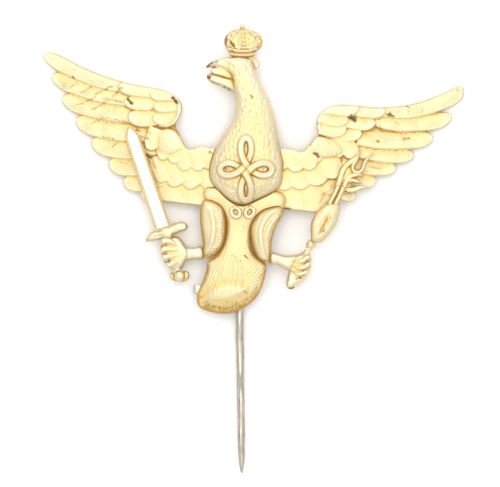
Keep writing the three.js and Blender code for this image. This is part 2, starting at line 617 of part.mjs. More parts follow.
// The strap is bent from flat strip: two raised ends under the tail, and a flat middle that
// carries the needle and is the badge's flat back. Its left end stands out past the tail.
const STRAP_LEFT = -9.1;
const STRAP_RIGHT = 0.1;
const STRAP_Y = -6.02;
const leftEnd = rise(STRAP_LEFT) - GAP;
const rightEnd = rise(STRAP_RIGHT) - GAP;
const strapShape = new THREE.Shape([
  [STRAP_LEFT, leftEnd - STRAP_THICK], [-7.3, leftEnd - STRAP_THICK], [-6, 0], [-1.1, 0],
  [-0.45, rightEnd - STRAP_THICK], [STRAP_RIGHT, rightEnd - STRAP_THICK], [STRAP_RIGHT, rightEnd],
  [-0.95, rightEnd], [-1.45, STRAP_THICK], [-5.7, STRAP_THICK], [-7, leftEnd], [STRAP_LEFT, leftEnd],
].map(([x, z]) => new THREE.Vector2(x, z)));
const strapGeometry = new THREE.ExtrudeGeometry(strapShape, { depth: STRAP_WIDE, bevelEnabled: false });
strapGeometry.rotateX(Math.PI / 2).translate(0, STRAP_Y + STRAP_WIDE / 2, 0);
addPiece('pin_strap', geometryOf(solidOf(strapGeometry)), NICKEL);

export default badge;
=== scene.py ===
"""Cap badge: a crowned eagle with sword and sceptre on a stick pin, seen from straight above its face.

Every front piece is struck sheet metal. It is drawn as a height map in millimetres over the plan of the
badge (x to the viewer's right, y towards the crown), from feathers, domes and ribbons, and cut out of the
map as a closed, hollow-backed sheet. The sheet is then laid over the bow of the badge.
"""

import math

import bmesh
import bpy
import numpy as np
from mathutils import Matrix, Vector


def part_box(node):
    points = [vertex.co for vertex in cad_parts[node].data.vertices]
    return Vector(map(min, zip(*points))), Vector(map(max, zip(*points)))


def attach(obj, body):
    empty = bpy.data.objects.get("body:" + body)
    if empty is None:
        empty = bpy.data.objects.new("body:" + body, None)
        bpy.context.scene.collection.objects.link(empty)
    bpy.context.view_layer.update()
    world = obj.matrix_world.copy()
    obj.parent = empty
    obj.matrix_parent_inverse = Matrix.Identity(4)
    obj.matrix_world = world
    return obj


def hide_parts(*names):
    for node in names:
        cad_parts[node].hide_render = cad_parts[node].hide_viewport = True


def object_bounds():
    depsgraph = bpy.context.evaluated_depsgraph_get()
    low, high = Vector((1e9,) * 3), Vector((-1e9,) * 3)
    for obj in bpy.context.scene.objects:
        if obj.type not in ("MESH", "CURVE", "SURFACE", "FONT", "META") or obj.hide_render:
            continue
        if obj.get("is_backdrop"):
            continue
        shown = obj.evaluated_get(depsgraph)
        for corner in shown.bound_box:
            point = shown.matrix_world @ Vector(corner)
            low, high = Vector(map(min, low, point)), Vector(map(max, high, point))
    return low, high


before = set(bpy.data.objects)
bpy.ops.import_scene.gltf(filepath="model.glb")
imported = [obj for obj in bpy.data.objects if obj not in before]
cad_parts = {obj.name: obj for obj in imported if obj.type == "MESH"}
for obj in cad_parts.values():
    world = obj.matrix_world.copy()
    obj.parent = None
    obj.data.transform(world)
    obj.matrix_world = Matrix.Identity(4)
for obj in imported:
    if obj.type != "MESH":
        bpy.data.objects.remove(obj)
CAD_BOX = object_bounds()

MM = 0.001
SEED = 825
STEP = 0.085  # plan distance between two points of a height map
SHEET = 0.45  # thickness of the struck sheet
THICK_SHEET = 0.55  # and of the body and the thighs
SEAM = 0.015  # half of the dark seam between soldered neighbours
THINNEST = 0.16  # the sheet is nowhere thinner
PIT_DEPTH = 0.08  # depth of a dark spot
SETTLING = 900  # rounds in which a dome's inflated form settles
NEIGHBOURS = ((0, 1), (0, -1), (1, 1), (1, -1))  # axis and shift to a grid point's four neighbours

# ---- the frame's own sizes
TIP_X = CAD_BOX[1][0] / MM
BOW_FLAT_X = 4.0
BOW_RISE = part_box("crown_band")[0].z / MM


def rise(x):
    """Height of the badge's back over the table: level in the middle, falling to the wing tips."""
    return BOW_RISE * np.clip((TIP_X - np.abs(x)) / (TIP_X - BOW_FLAT_X), 0, 1)


def box_mm(node):
    """The two corners of a node's box, in millimetres."""
    low, high = (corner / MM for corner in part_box(node))
    return low, high


# ---- small numeric helpers
def smooth(low, high, x):
    t = np.clip((x - low) / (high - low), 0, 1)
    return t * t * (3 - 2 * t)


def wave(phase, pitch):
    return np.sin(2 * math.pi * phase / pitch)


def bell(x, wide):
    return np.exp(-((x / wide) ** 2))


def circle(count):
    return [2 * math.pi * j / count for j in range(count)]


def curve(points, count, closed=False):
    """A Catmull-Rom curve through a few points, as count samples."""
    p = np.array(points, float)
    n = len(p)
    spans = n if closed else n - 1
    t = np.linspace(0, spans, count, endpoint=not closed)
    i = np.minimum(t.astype(int), spans - 1)
    f = (t - i)[:, None]
    if closed:
        a, b, c, d = (p[(i + k) % n] for k in (-1, 0, 1, 2))
    else:
        ends = np.vstack([2 * p[0] - p[1], p, 2 * p[-1] - p[-2]])
        a, b, c, d = (ends[i + k] for k in (0, 1, 2, 3))
    return 0.5 * (2 * b + (c - a) * f + (2 * a - 5 * b + 4 * c - d) * f**2 + (3 * b - a - 3 * c + d) * f**3)


def blur(field, radius):
    """A soft blur: three passes of a box filter."""
    half = max(1, int(round(radius / STEP)))
    out = field
    for _ in range(3):
        for axis in (0, 1):
            padded = np.pad(out, [(half + 1, half) if a == axis else (0, 0) for a in (0, 1)], mode="edge")
            total = np.cumsum(padded, axis=axis)
            width = 2 * half + 1
            if axis == 0:
                out = (total[width:] - total[:-width]) / width
            else:
                out = (total[:, width:] - total[:, :-width]) / width
    return out


def noise(x, y, scale, seed):
    """Smooth value noise from -1 to 1 over the plan."""
    rng = np.random.default_rng(SEED + seed)
    table = rng.uniform(-1, 1, (64, 64))
    u, v = x / scale, y / scale
    i, j = np.floor(u).astype(int), np.floor(v).astype(int)
    f, g = u - i, v - j
    f, g = f * f * (3 - 2 * f), g * g * (3 - 2 * g)
    corner = lambda a, b: table[(i + a) % 64, (j + b) % 64]
    low = corner(0, 0) * (1 - f) + corner(1, 0) * f
    high = corner(0, 1) * (1 - f) + corner(1, 1) * f
    return low * (1 - g) + high * g


def along(line, x, y):
    """For each plan point, the nearest place on a line: share of its length, side distance, arc length."""
    a, b = line[:-1], line[1:]
    span = b - a
    long = np.hypot(span[:, 0], span[:, 1])
    start = np.concatenate([[0], np.cumsum(long)])
    best = np.full(x.shape, np.inf)
    arc = np.zeros(x.shape)
    side = np.zeros(x.shape)
    for k in range(len(a)):
        raw = ((x - a[k, 0]) * span[k, 0] + (y - a[k, 1]) * span[k, 1]) / long[k] ** 2
        low = 0 if k else -9
        high = 1 if k < len(a) - 1 else 9
        t = np.clip(raw, low, high)
        dx = x - a[k, 0] - t * span[k, 0]
        dy = y - a[k, 1] - t * span[k, 1]
        far = np.hypot(dx, dy)
        near = far < best
        best = np.where(near, far, best)
        arc = np.where(near, start[k] + t * long[k], arc)
        cross = span[k, 0] * dy - span[k, 1] * dx
        side = np.where(near, np.sign(cross) * far, side)
    return arc / start[-1], side, arc


def inside_distance(outline, x, y):
    """Signed distance to a closed outline, positive inside."""
    best = np.full(x.shape, np.inf)
    crossings = np.zeros(x.shape, int)
    after = np.roll(outline, -1, axis=0)
    for (ax, ay), (bx, by) in zip(outline, after):
        ex, ey = bx - ax, by - ay
        t = np.clip(((x - ax) * ex + (y - ay) * ey) / (ex * ex + ey * ey + 1e-12), 0, 1)
        best = np.minimum(best, np.hypot(x - ax - t * ex, y - ay - t * ey))
        if ay != by:
            hit = ((ay > y) != (by > y)) & (x < ax + (y - ay) * ex / ey)
            crossings += hit
    return np.where(crossings % 2 == 1, best, -best)


def roll_edge(distance, radius):
    """How far a rolled edge of this radius falls at a distance from the outline."""
    t = np.clip(1 - distance / radius, 0, 1)
    return radius * (1 - np.sqrt(1 - t * t * 0.97))


# ---- features of a height map
# A feature is a function of the plan grid that gives (distance inside its outline, height).
def feather(line, wide, level, *, tilt=0.16, crown=0.16, barbs=0.035, angle=0.45, hand=1, tip=0.24, seed=0,
            shaft=0.05, pitch=0.4, roll=0.22):
    """A feather along a line from its tip to its root. hand says which side of the line is its lower edge."""
    points = curve(line, 26)
    wide = (wide, wide) if np.isscalar(wide) else wide

    def field(x, y):
        t, side, arc = along(points, x, y)
        clear = np.clip(t, 0, 1)
        half = 0.5 * (wide[0] + (wide[1] - wide[0]) * clear)
        round_tip = np.sqrt(np.clip(1 - (1 - np.clip(t, 0, tip) / tip) ** 2, 0, 1))
        half = half * round_tip
        past = np.where(t < 0, -arc, arc * (1 - 1 / np.maximum(t, 1)))
        inside = np.where((t >= 0) & (t <= 1), half - np.abs(side), np.minimum(half - np.abs(side), 0) - past)
        across = np.clip(side / np.maximum(0.5 * wide[0], 0.1), -1.2, 1.2) * hand
        height = level - tilt * across + crown * (1 - across**2)
        height = height - roll_edge(np.maximum(inside, 0), roll)
        phase = arc * math.cos(angle) + np.abs(side) * math.sin(angle) * 2.2
        wander = 0.5 * noise(x, y, 1.1, seed + 7)
        fine = wave(phase + wander * 0.35, pitch)
        streak = 0.55 + 0.6 * noise(x, y, 0.9, seed + 3)
        height = height + barbs * fine * np.clip(streak, 0.1, 1.2) * smooth(0.1, 0.35, inside)
        height = height - shaft * bell(side, 0.11) * smooth(0.05, 0.3, t) * smooth(0.1, 0.4, inside)
        return inside, height

    low = points.min(0) - max(wide)
    high = points.max(0) + max(wide)
    return field, low, high


def dome(outline, level, swell, *, roof=99.0, roll=0.25, ease=0.0, samples=84, detail=None,
         closed_curve=True):
    """An inflated form inside a closed outline: half round across, and rounded off at its ends."""
    edge = curve(outline, samples, closed=True) if closed_curve else np.array(outline, float)
    low, high = edge.min(0) - 0.6, edge.max(0) + 0.6
    coarse = 0.2
    nx, ny = (np.ceil((high - low) / coarse).astype(int) + 1)
    gx, gy = np.meshgrid(low[0] + coarse * np.arange(nx), low[1] + coarse * np.arange(ny), indexing="ij")
    depth = inside_distance(edge, gx, gy)
    inner = depth > 0
    puff = np.where(inner, depth * 1.5, 0.0)
    for _ in range(SETTLING):
        around = np.zeros_like(puff)
        around[1:-1, 1:-1] = (puff[2:, 1:-1] + puff[:-2, 1:-1] + puff[1:-1, 2:] + puff[1:-1, :-2]) / 4
        puff = np.where(inner, around + coarse**2 / 4, 0.0)
    ratio = np.where(inner, puff / np.maximum(depth, coarse * 0.5), 0)
    for _ in range(4):
        weight = inner.astype(float)
        total, count = np.zeros_like(ratio), np.zeros_like(ratio)
        for axis, shift in NEIGHBOURS:
            total += np.roll(ratio * weight, shift, axis)
            count += np.roll(weight, shift, axis)
        ratio = np.where(inner, ratio, total / np.maximum(count, 1))
        inner = inner | (count > 0)

    def field(x, y):
        inside = inside_distance(edge, x, y)
        u = np.clip((x - low[0]) / coarse, 0, nx - 1.001)
        v = np.clip((y - low[1]) / coarse, 0, ny - 1.001)
        i, j = u.astype(int), v.astype(int)
        f, g = u - i, v - j
        q = (ratio[i, j] * (1 - f) * (1 - g) + ratio[i + 1, j] * f * (1 - g)
             + ratio[i, j + 1] * (1 - f) * g + ratio[i + 1, j + 1] * f * g)
        puffed = swell * np.sqrt(2 * np.maximum(q * np.maximum(inside, 0), 0))
        puffed = roof * np.tanh(puffed / roof)
        if ease:
            puffed = puffed * smooth(-0.35 * ease, ease, inside)
        height = level + puffed - roll_edge(np.maximum(inside, 0), roll)
        if detail is not None:
            height = height + detail(x, y, inside)
        return inside, height

    return field, low, high


def ribbon(line, wide, level, thick, *, groove=0.0, taper=(0.0, 0.0), weave=None, samples=40):
    """A rounded strip along a line, with an optional groove down its middle."""
    points = curve(line, samples)

    def field(x, y):
        t, side, arc = along(points, x, y)
        clear = np.clip(t, 0, 1)
        half = 0.5 * wide * np.ones_like(x)
        if taper[0]:
            half = half * (0.25 + 0.75 * smooth(0, taper[0], clear))
        if taper[1]:
            half = half * (0.25 + 0.75 * smooth(0, taper[1], 1 - clear))
        over = np.where(t < 0, -arc, np.where(t > 1, arc * (1 - 1 / np.maximum(t, 1)), 0))
        reach = np.hypot(side, np.maximum(over, 0))
        inside = half - reach
        round_top = np.sqrt(np.clip(1 - (reach / np.maximum(half, 0.05)) ** 2, 0, 1))
        height = (level(x, y) if callable(level) else level) + thick * round_top
        if groove:
            height = height - groove * bell(side, 0.16 * wide)
        if weave is not None:
            height = height + weave(clear)
        return inside, height

    margin = wide
    return field, points.min(0) - margin, points.max(0) + margin


def merged(features, blend):
    """Features that flow into each other: a soft maximum of their heights, with a fillet of size blend."""
    def field(x, y):
        depth = np.full(x.shape, -9.0)
        total = np.zeros(x.shape)
        for one, _, _ in features:
            inside, height = one(x, y)
            depth = np.maximum(depth, inside)
            weight = smooth(-0.05, 0.35, inside)
            total = total + np.exp(height / blend) * weight + 1e-6
        return depth, blend * np.log(total)

    return field, np.min([f[1] for f in features], axis=0), np.max([f[2] for f in features], axis=0)


# ---- from a height map to a metal sheet
def outline_of(points):
    return curve(points, 84, closed=True)


def plan_grid(features, step):
    """The plan points, a step apart, that cover all the features, and their lowest corner."""
    low = np.min([f[1] for f in features], axis=0) - 3 * step
    high = np.max([f[2] for f in features], axis=0) + 3 * step
    nx, ny = np.ceil((high - low) / step).astype(int) + 1
    x, y = np.meshgrid(low[0] + step * np.arange(nx), low[1] + step * np.arange(ny), indexing="ij")
    return low, x, y


def field_of(features, x, y, low, step):
    """The distance inside the union of the features, and the highest of them, at every plan point."""
    top = np.full(x.shape, -np.inf)
    depth = np.full(x.shape, -1.0)
    for field, lowest, highest in features:
        i0, j0 = np.maximum(((lowest - low) / step).astype(int) - 2, 0)
        i1, j1 = ((highest - low) / step).astype(int) + 3
        part = (slice(i0, i1), slice(j0, j1))
        if not x[part].size:
            continue
        inside, height = field(x[part], y[part])
        near = inside > -1.6 * step
        depth[part] = np.maximum(depth[part], inside)
        real = inside > -0.15 * step
        taken = np.where(near, height, -np.inf)
        better = (taken > top[part]) & (real | ~np.isfinite(top[part]))
        top[part] = np.where(better, taken, top[part])
    return depth, top


def carried_out(top):
    """The heights, carried a few steps past the outline, where no feature gives one."""
    known = np.isfinite(top)
    for _ in range(4):
        spread = np.where(known, top, -np.inf)
        for axis, shift in NEIGHBOURS:
            spread = np.maximum(spread, np.roll(np.where(known, top, -np.inf), shift, axis))
        top = np.where(known, top, spread)
        known = np.isfinite(top)
    return np.where(known, top, 0.3)


def stroke_of(pit):
    """A dark spot (x, y, size) or stroke (x, y, x, y, size, darkness) as the latter."""
    if len(pit) == 3:
        x, y, size = pit
        return x, y, x, y, size, float(np.clip(size / 0.34, 0.3, 1))
    return pit


def tarnished_and_shaded(x, y, top, pits):
    """Presses the dark spots and strokes into the heights, and says how dark each point is painted: tarnish
    in the spots, painted shade in some strokes.
    """
    tarnish_and_shade = np.zeros_like(top)
    stray_x = x + 0.10 * noise(x, y, 0.5, 91)
    stray_y = y + 0.10 * noise(x, y, 0.5, 93)
    speckle = 0.8 + 0.55 * noise(x, y, 0.2, 95)
    for px, py, qx, qy, size, darkness in map(stroke_of, pits):
        way = np.array([qx - px, qy - py])
        share = np.clip(((stray_x - px) * way[0] + (stray_y - py) * way[1]) / (way @ way + 1e-9), 0, 1)
        far = np.hypot(stray_x - px - share * way[0], stray_y - py - share * way[1])
        wobble = 1 + 0.7 * noise(x, y, 0.27, int(abs(px * 31 + py * 17)) % 50)
        broken = speckle if darkness < 0.75 else 1
        spot = smooth(1.7, 0.1, far / (size * wobble)) * darkness * broken
        top = top - PIT_DEPTH * spot
        tarnish_and_shade = np.maximum(tarnish_and_shade, spot)
    return top, tarnish_and_shade


def softened(top):
    """The heights after one light smoothing with their four neighbours."""
    padded = np.pad(top, 1, mode="edge")
    return (4 * top + padded[2:, 1:-1] + padded[:-2, 1:-1] + padded[1:-1, 2:] + padded[1:-1, :-2]) / 8


def rubbing_and_shade_of(top, step):
    """Which points stand out: high on ridges, where the gilding is rubbed; low in hollows and on steep
    slopes, where the colour carries painted shade.
    """
    hollow = (top - blur(top, 0.22)) / 0.09
    broad = (top - blur(top, 0.7)) / 0.35
    lean = np.hypot(*np.gradient(blur(top, 0.2), step))
    return np.clip(0.6 * hollow + 0.45 * broad - 1.15 * smooth(0.2, 1.3, lean), -1.5, 1.5)


def cells_inside(depth):
    """The grid's cells inside the outline. No two of them meet at a corner only."""
    cells = (depth[:-1, :-1] + depth[1:, :-1] + depth[:-1, 1:] + depth[1:, 1:]) / 4 > 0
    for _ in range(3):
        a, b, c, d = corners = cells[:-1, :-1], cells[1:, 1:], cells[1:, :-1], cells[:-1, 1:]
        pinch = (a & b & ~c & ~d) | (~a & ~b & c & d)
        if not pinch.any():
            break
        for corner in corners:
            corner |= pinch
    return cells


def cell_counts(cells):
    """How many cells touch each point of the grid."""
    wide, tall = cells.shape
    counts = np.zeros((wide + 1, tall + 1), int)
    for i in (0, 1):
        for j in (0, 1):
            counts[i:i + wide, j:j + tall] += cells
    return counts


def onto_outline(depth, rim, step):
    """How far the points on the rim move, in x and y, to lie on the outline."""
    slope_x, slope_y = np.gradient(depth, step)
    steep = np.maximum(slope_x**2 + slope_y**2, 0.15)
    reach = 0.72 * step
    return (np.clip(np.where(rim, -depth * slope / steep, 0), -reach, reach) for slope in (slope_x, slope_y))


def sheet_faces(cells, used):
    """The quads of a closed sheet: its front, its back, and the walls between them along the rim."""
    count = int(used.sum())
    index = np.full(used.shape, -1)
    index[used] = np.arange(count)
    i, j = np.nonzero(cells)
    a, b, c, d = index[i, j], index[i + 1, j], index[i + 1, j + 1], index[i, j + 1]
    front = np.stack([a, b, c, d], axis=1)
    rear = np.stack([a, d, c, b], axis=1) + count
    edges = np.concatenate([front[:, [0, 1]], front[:, [1, 2]], front[:, [2, 3]], front[:, [3, 0]]])
    key = edges[:, 0] * (count + 1) + edges[:, 1]
    mirror = edges[:, 1] * (count + 1) + edges[:, 0]
    lone = edges[~np.isin(key, mirror)]
    walls = np.stack([lone[:, 1], lone[:, 0], lone[:, 0] + count, lone[:, 1] + count], axis=1)
    return np.concatenate([front, rear, walls])


def quad_mesh(name, verts, faces):
    mesh = bpy.data.meshes.new(name)
    mesh.vertices.add(len(verts))
    mesh.vertices.foreach_set("co", verts.astype(np.float32).ravel())
    mesh.loops.add(faces.size)
    mesh.loops.foreach_set("vertex_index", faces.astype(np.int32).ravel())
    mesh.polygons.add(len(faces))
    mesh.polygons.foreach_set("loop_start", np.arange(0, faces.size, 4, dtype=np.int32))
    mesh.update(calc_edges=True)
    mesh.validate()
    return mesh


def wear_attribute(mesh, title, values):
    layer = mesh.attributes.new(title, "FLOAT", "POINT")
    layer.data.foreach_set("value", values.astype(np.float32))


def add_piece(name, mesh, node, material, sharp):
    """Smooths a mesh except along its sharp edges, and puts it in the scene in place of a CAD node."""
    mesh.polygons.foreach_set("use_smooth", np.ones(len(mesh.polygons), bool))
    mesh.set_sharp_from_angle(angle=math.radians(sharp))
    mesh.materials.append(material)
    piece = bpy.data.objects.new(name, mesh)
    bpy.context.scene.collection.objects.link(piece)
    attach(piece, "root")
    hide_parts(node)


def struck(name, node, slot, features, material, *, cuts=(), pits=(), texture=0.012, base=0.0, step=STEP,
           sheet=SHEET, solid=False, under=None, floor=0.18, trim=None):
    """Cuts a piece out of its height map, closes it with a hollow back, and lays it over the bow."""
    low, x, y = plan_grid(features, step)
    depth, top = field_of(features, x, y, low, step)
    for edge in cuts:
        near = inside_distance(edge, x, y)
        depth = np.minimum(depth, -near - SEAM)
    if trim is not None:
        margin = inside_distance(trim, x, y)
        depth = np.minimum(depth, margin)
        top = top - roll_edge(np.maximum(margin, 0), 0.3)
    top, tarnish_and_shade = tarnished_and_shaded(x, y, carried_out(top), pits)
    top = softened(top)
    relief = rubbing_and_shade_of(top, step)
    top = top + texture * (noise(x, y, 0.32, 11) + 0.6 * noise(x, y, 0.17, 12))
    top = np.maximum(top, floor)
    if under is not None:
        back = under(x, y)
    else:
        back = np.zeros_like(top) if solid else np.maximum(blur(top, 0.35) - sheet, 0)
        back = back * smooth(0.3, 0.8, depth)
    back = np.minimum(back, top - THINNEST)

    cells = cells_inside(depth)
    touching = cell_counts(cells)
    used = touching > 0
    move_x, move_y = onto_outline(depth, used & (touching < 4), step)
    px, py = x + move_x, y + move_y
    lift = rise(px) + base
    upper, lower = (np.stack([px[used], py[used], (face + lift)[used]], axis=1) for face in (top, back))
    mesh = quad_mesh(name, np.concatenate([upper, lower]) * MM, sheet_faces(cells, used))
    # Attributes for the colour: relief is rubbing on ridges and painted shade in hollows and on slopes; the
    # dark marks are tarnish, with painted shade in some strokes; rim is the nearness to the outline, which
    # paints shade on the rolled edges.
    for title, front, rear in (("relief", relief, 0.0), ("tarnish_and_shade", tarnish_and_shade, 0.0),
                               ("rim", np.clip(depth / 0.6, 0, 1), 0.6)):
        wear_attribute(mesh, title, np.concatenate([front[used], np.full(len(lower), rear)]))
    add_piece(name, mesh, node, material, 62)


# ---- materials
class Paint:
    """A material in the making: its Principled shader, and the nodes that feed it."""

    def __init__(self, name):
        self.material = bpy.data.materials.new(name)
        self.material.use_nodes = True
        self.nodes = self.material.node_tree.nodes
        self.shader = self.nodes["Principled BSDF"]

    def feed(self, node, socket, value):
        """Sets a socket to a number or a colour, or links another node's output to it."""
        if isinstance(value, tuple):
            node.inputs[socket].default_value = (*value, 1)
        elif isinstance(value, (int, float)):
            node.inputs[socket].default_value = value
        else:
            self.material.node_tree.links.new(value, node.inputs[socket])

    def set(self, socket, value):
        self.feed(self.shader, socket, value)

    def attribute(self, name):
        node = self.nodes.new("ShaderNodeAttribute")
        node.attribute_name = name
        return node.outputs["Fac"]

    def grain(self, scale, detail, *, stretch=(1, 1, 1), rough=0.6):
        """Procedural noise in millimetres of the object."""
        coordinates = self.nodes.new("ShaderNodeTexCoord")
        mapping = self.nodes.new("ShaderNodeMapping")
        mapping.inputs["Scale"].default_value = [s / MM for s in stretch]
        texture = self.nodes.new("ShaderNodeTexNoise")
        self.feed(mapping, "Vector", coordinates.outputs["Object"])
        self.feed(texture, "Vector", mapping.outputs["Vector"])
        for socket, value in (("Scale", scale), ("Detail", detail), ("Roughness", rough)):
            self.feed(texture, socket, value)
        return texture.outputs["Fac"]

    def math(self, kind, *values, clamp=False):
        node = self.nodes.new("ShaderNodeMath")
        node.operation = kind
        node.use_clamp = clamp
        for socket, value in enumerate(values):
            self.feed(node, socket, value)
        return node.outputs["Value"]

    def mix(self, share, a, b):
        node = self.nodes.new("ShaderNodeMix")
        node.data_type = "RGBA"
        for socket, value in (("Factor", share), ("A", a), ("B", b)):
            self.feed(node, socket, value)
        return node.outputs["Result"]

    def ramp(self, value, *stops):
        """Colours, or grey levels, along a value from 0 to 1."""
        node = self.nodes.new("ShaderNodeValToRGB")
        elements = node.color_ramp.elements
        while len(elements) < len(stops):
            elements.new(0.5)
        for element, (position, color) in zip(elements, stops):
            element.position = position
            element.color = (*color, 1) if isinstance(color, tuple) else (color, color, color, 1)
        self.feed(node, "Fac", value)
        return node.outputs["Color"]

    def bump(self, height, strength, distance):
        node = self.nodes.new("ShaderNodeBump")
        self.feed(node, "Strength", strength)
        self.feed(node, "Distance", distance * MM)
        self.feed(node, "Height", height)
        self.set("Normal", node.outputs["Normal"])


DEEP_GILT = (0.50, 0.29, 0.075)
EDGE_TINT = (1.0, 0.84, 0.50)
WARM_GILT = (0.78, 0.57, 0.21)
PALE_GILT = (0.70, 0.595, 0.325)
RUBBED_GILT = (0.75, 0.675, 0.50)
BROWN_STAIN_AND_SHADE = (0.38, 0.22, 0.055)
TARNISH = (0.085, 0.075, 0.065)


def gilt(name, *, warm=0.0, rough=0.58, grain_size=3.2, bump=0.5):
    """Satin gilding: rubbed pale on ridges; yellow in hollows, brown in cuts, warmer on slopes and darker
    along outlines, as painted shade with some patina; tarnished in pits, with painted shade in some dark
    strokes.
    """
    paint = Paint(name)
    relief, tarnish_and_shade, rim = (paint.attribute(title) for title in ("relief", "tarnish_and_shade", "rim"))
    cloudy = paint.grain(0.7, 5, rough=0.65)
    fine = paint.grain(grain_size, 4, rough=0.7)
    # The tone rises on rubbed ridges and falls in hollows and on steep slopes, where it is painted shade.
    ridge_and_shade_tone = paint.math("MULTIPLY_ADD", relief, 0.50, 0.52 - warm)
    mottled = paint.math("MULTIPLY_ADD", cloudy, 0.34, -0.17)
    speckled = paint.math("MULTIPLY_ADD", fine, 0.22, -0.11)
    # Near the outline the tone falls: painted shade on the rolled edges.
    edge = paint.math("MULTIPLY_ADD", paint.math("MINIMUM", rim, 0.5), 0.5, -0.25)
    shaded = paint.math("ADD", ridge_and_shade_tone, edge)
    tone = paint.math("ADD", paint.math("ADD", shaded, mottled), speckled, clamp=True)
    color = paint.ramp(tone, (0.0, DEEP_GILT), (0.24, WARM_GILT), (0.5, PALE_GILT), (0.82, RUBBED_GILT))
    # Brown, then near black, where the dark marks are: tarnish in the pits, painted shade in some of the
    # strokes.
    browned = paint.math("MULTIPLY", tarnish_and_shade, 1.3, clamp=True)
    blackened = paint.math("MULTIPLY_ADD", tarnish_and_shade, 2.0, -0.95, clamp=True)
    paint.set("Base Color", paint.mix(blackened, paint.mix(browned, color, BROWN_STAIN_AND_SHADE), TARNISH))
    duller = paint.math("MULTIPLY_ADD", fine, 0.24, rough - 0.12)
    paint.set("Roughness", paint.math("ADD", duller, paint.math("MULTIPLY", blackened, 0.3)))
    shiny = paint.math("MULTIPLY_ADD", tone, 1.1, 0.25, clamp=True)
    paint.set("Metallic", paint.math("SUBTRACT", shiny, paint.math("MULTIPLY", blackened, 0.7), clamp=True))
    paint.set("Specular Tint", EDGE_TINT)
    paint.bump(fine, bump, 0.03)
    return paint.material


BODY_GILT = gilt("satin_gilding_body", warm=0.04)
WING_GILT = gilt("satin_gilding_wings")
TAIL_GILT = gilt("satin_gilding_tail", warm=0.05)
RELIEF_GILT = gilt("satin_gilding_ornaments", warm=0.05)
# The blade's whole tone is lifted towards the palest gilt: a painted sheen, on top of its real polish.
BLADE_GILT = gilt("burnished_gilding_blade_painted_sheen", warm=-0.22, rough=0.3, grain_size=1.4, bump=0.15)


def gilded(name, node, features, **options):
    """A struck piece in the gilding of the ornaments."""
    struck(name, node, "gilt_relief", features, RELIEF_GILT, **options)


# ---- outlines that neighbours share, in millimetres
BODY = outline_of([
    (-1.6, 6.4), (-3.6, 7.1), (-5.3, 8.7), (-6.4, 10.0), (-6.75, 11.6), (-6.5, 13.2), (-5.8, 15.2),
    (-4.3, 17.6), (-3.0, 19.6), (-2.7, 21.4), (-2.75, 22.8), (-3.2, 24.1), (-3.4, 25.4), (-4.0, 26.6),
    (-4.4, 27.8), (-3.9, 28.7), (-2.4, 28.95), (-1.0, 28.8), (-0.1, 28.2), (0.18, 26.95), (0.62, 25.55),
    (1.5, 23.8), (2.4, 22.0), (3.0, 20.2), (3.5, 17.9), (3.9, 15.2), (4.35, 13.0), (4.3, 11.0),
    (3.9, 9.4), (2.6, 8.3), (0.8, 7.4)])
LEFT_THIGH = outline_of([
    (-7.2, 7.45), (-5.7, 7.05), (-4.6, 6.1), (-4.25, 4.4), (-4.3, 2.4), (-4.7, 0.6), (-5.8, -0.8),
    (-7.4, -1.4), (-7.65, -0.5), (-7.7, 1.2), (-8.05, 3.6), (-8.1, 5.6), (-7.8, 7.0)])
RIGHT_THIGH = outline_of([
    (3.2, 6.45), (1.6, 6.05), (0.3, 5.1), (-0.5, 3.5), (-0.45, 1.8), (0.0, -0.2), (0.9, -1.7), (2.1, -2.1),
    (2.55, -0.4), (2.65, 1.1), (3.1, 2.9), (3.9, 4.5), (4.45, 5.6), (4.0, 6.35)])
TAIL = outline_of([
    (-7.6, 8.6), (-6.0, 9.4), (2.4, 9.0), (4.6, 8.0), (4.5, 6.3), (2.6, 5.4), (0.4, 4.4), (-0.4, 2.9),
    (-0.5, 1.0), (-0.2, -0.4), (0.7, -1.6), (1.75, -2.2), (1.75, -3.45), (1.38, -5.1), (0.55, -7.0),
    (-0.8, -8.35), (-2.85, -9.45), (-4.8, -9.7), (-7.1, -9.25), (-8.35, -8.5), (-8.6, -7.2),
    (-8.15, -5.8), (-7.55, -4.4), (-7.1, -3.0), (-6.9, -1.8), (-5.8, -1.0), (-4.7, 0.6), (-4.2, 2.4),
    (-4.3, 4.6), (-5.4, 6.3), (-7.2, 7.2)])


# The leading edge of each wing from its tip to the body, closed well below the badge.
LEFT_EDGE = np.vstack([curve([
    (-30.4, 24.9), (-31.6, 27.4), (-31.85, 28.75), (-31.35, 29.65), (-30.5, 29.7), (-29.3, 29.25),
    (-27.9, 28.5), (-25.4, 27.2), (-21.4, 25.65), (-17.8, 24.65), (-14.2, 24.05), (-12.2, 23.25),
    (-11.0, 22.1), (-10.8, 20.9), (-11.25, 19.7), (-11.75, 18.5), (-11.1, 17.1), (-10.45, 15.75),
    (-10.0, 15.1), (-9.1, 15.1), (-8.1, 15.5), (-6.2, 15.2), (-4.4, 15.6)], 90),
    [(0, 15), (0, 5.6), (-15.4, 7.35), (-17.5, 5.5), (-36, -9), (-36, 16)]])
RIGHT_EDGE = np.vstack([curve([
    (30.0, 20.4), (31.3, 22.4), (31.7, 23.7), (31.45, 24.55), (30.9, 24.65), (28.8, 23.6), (24.9, 22.1),
    (21.5, 21.45), (18.1, 21.3), (13.6, 21.7), (11.4, 21.4), (10.3, 20.7), (9.5, 19.7), (9.35, 18.5),
    (9.55, 17.5), (9.0, 16.8), (8.3, 16.0), (7.7, 14.9), (6.9, 14.65), (5.8, 15.0), (3.0, 15.2)], 90),
    [(0, 15), (0, 6.5), (4.4, 6.05), (9.0, 5.5), (12.5, 5.5), (36, -9), (36, 14)]])


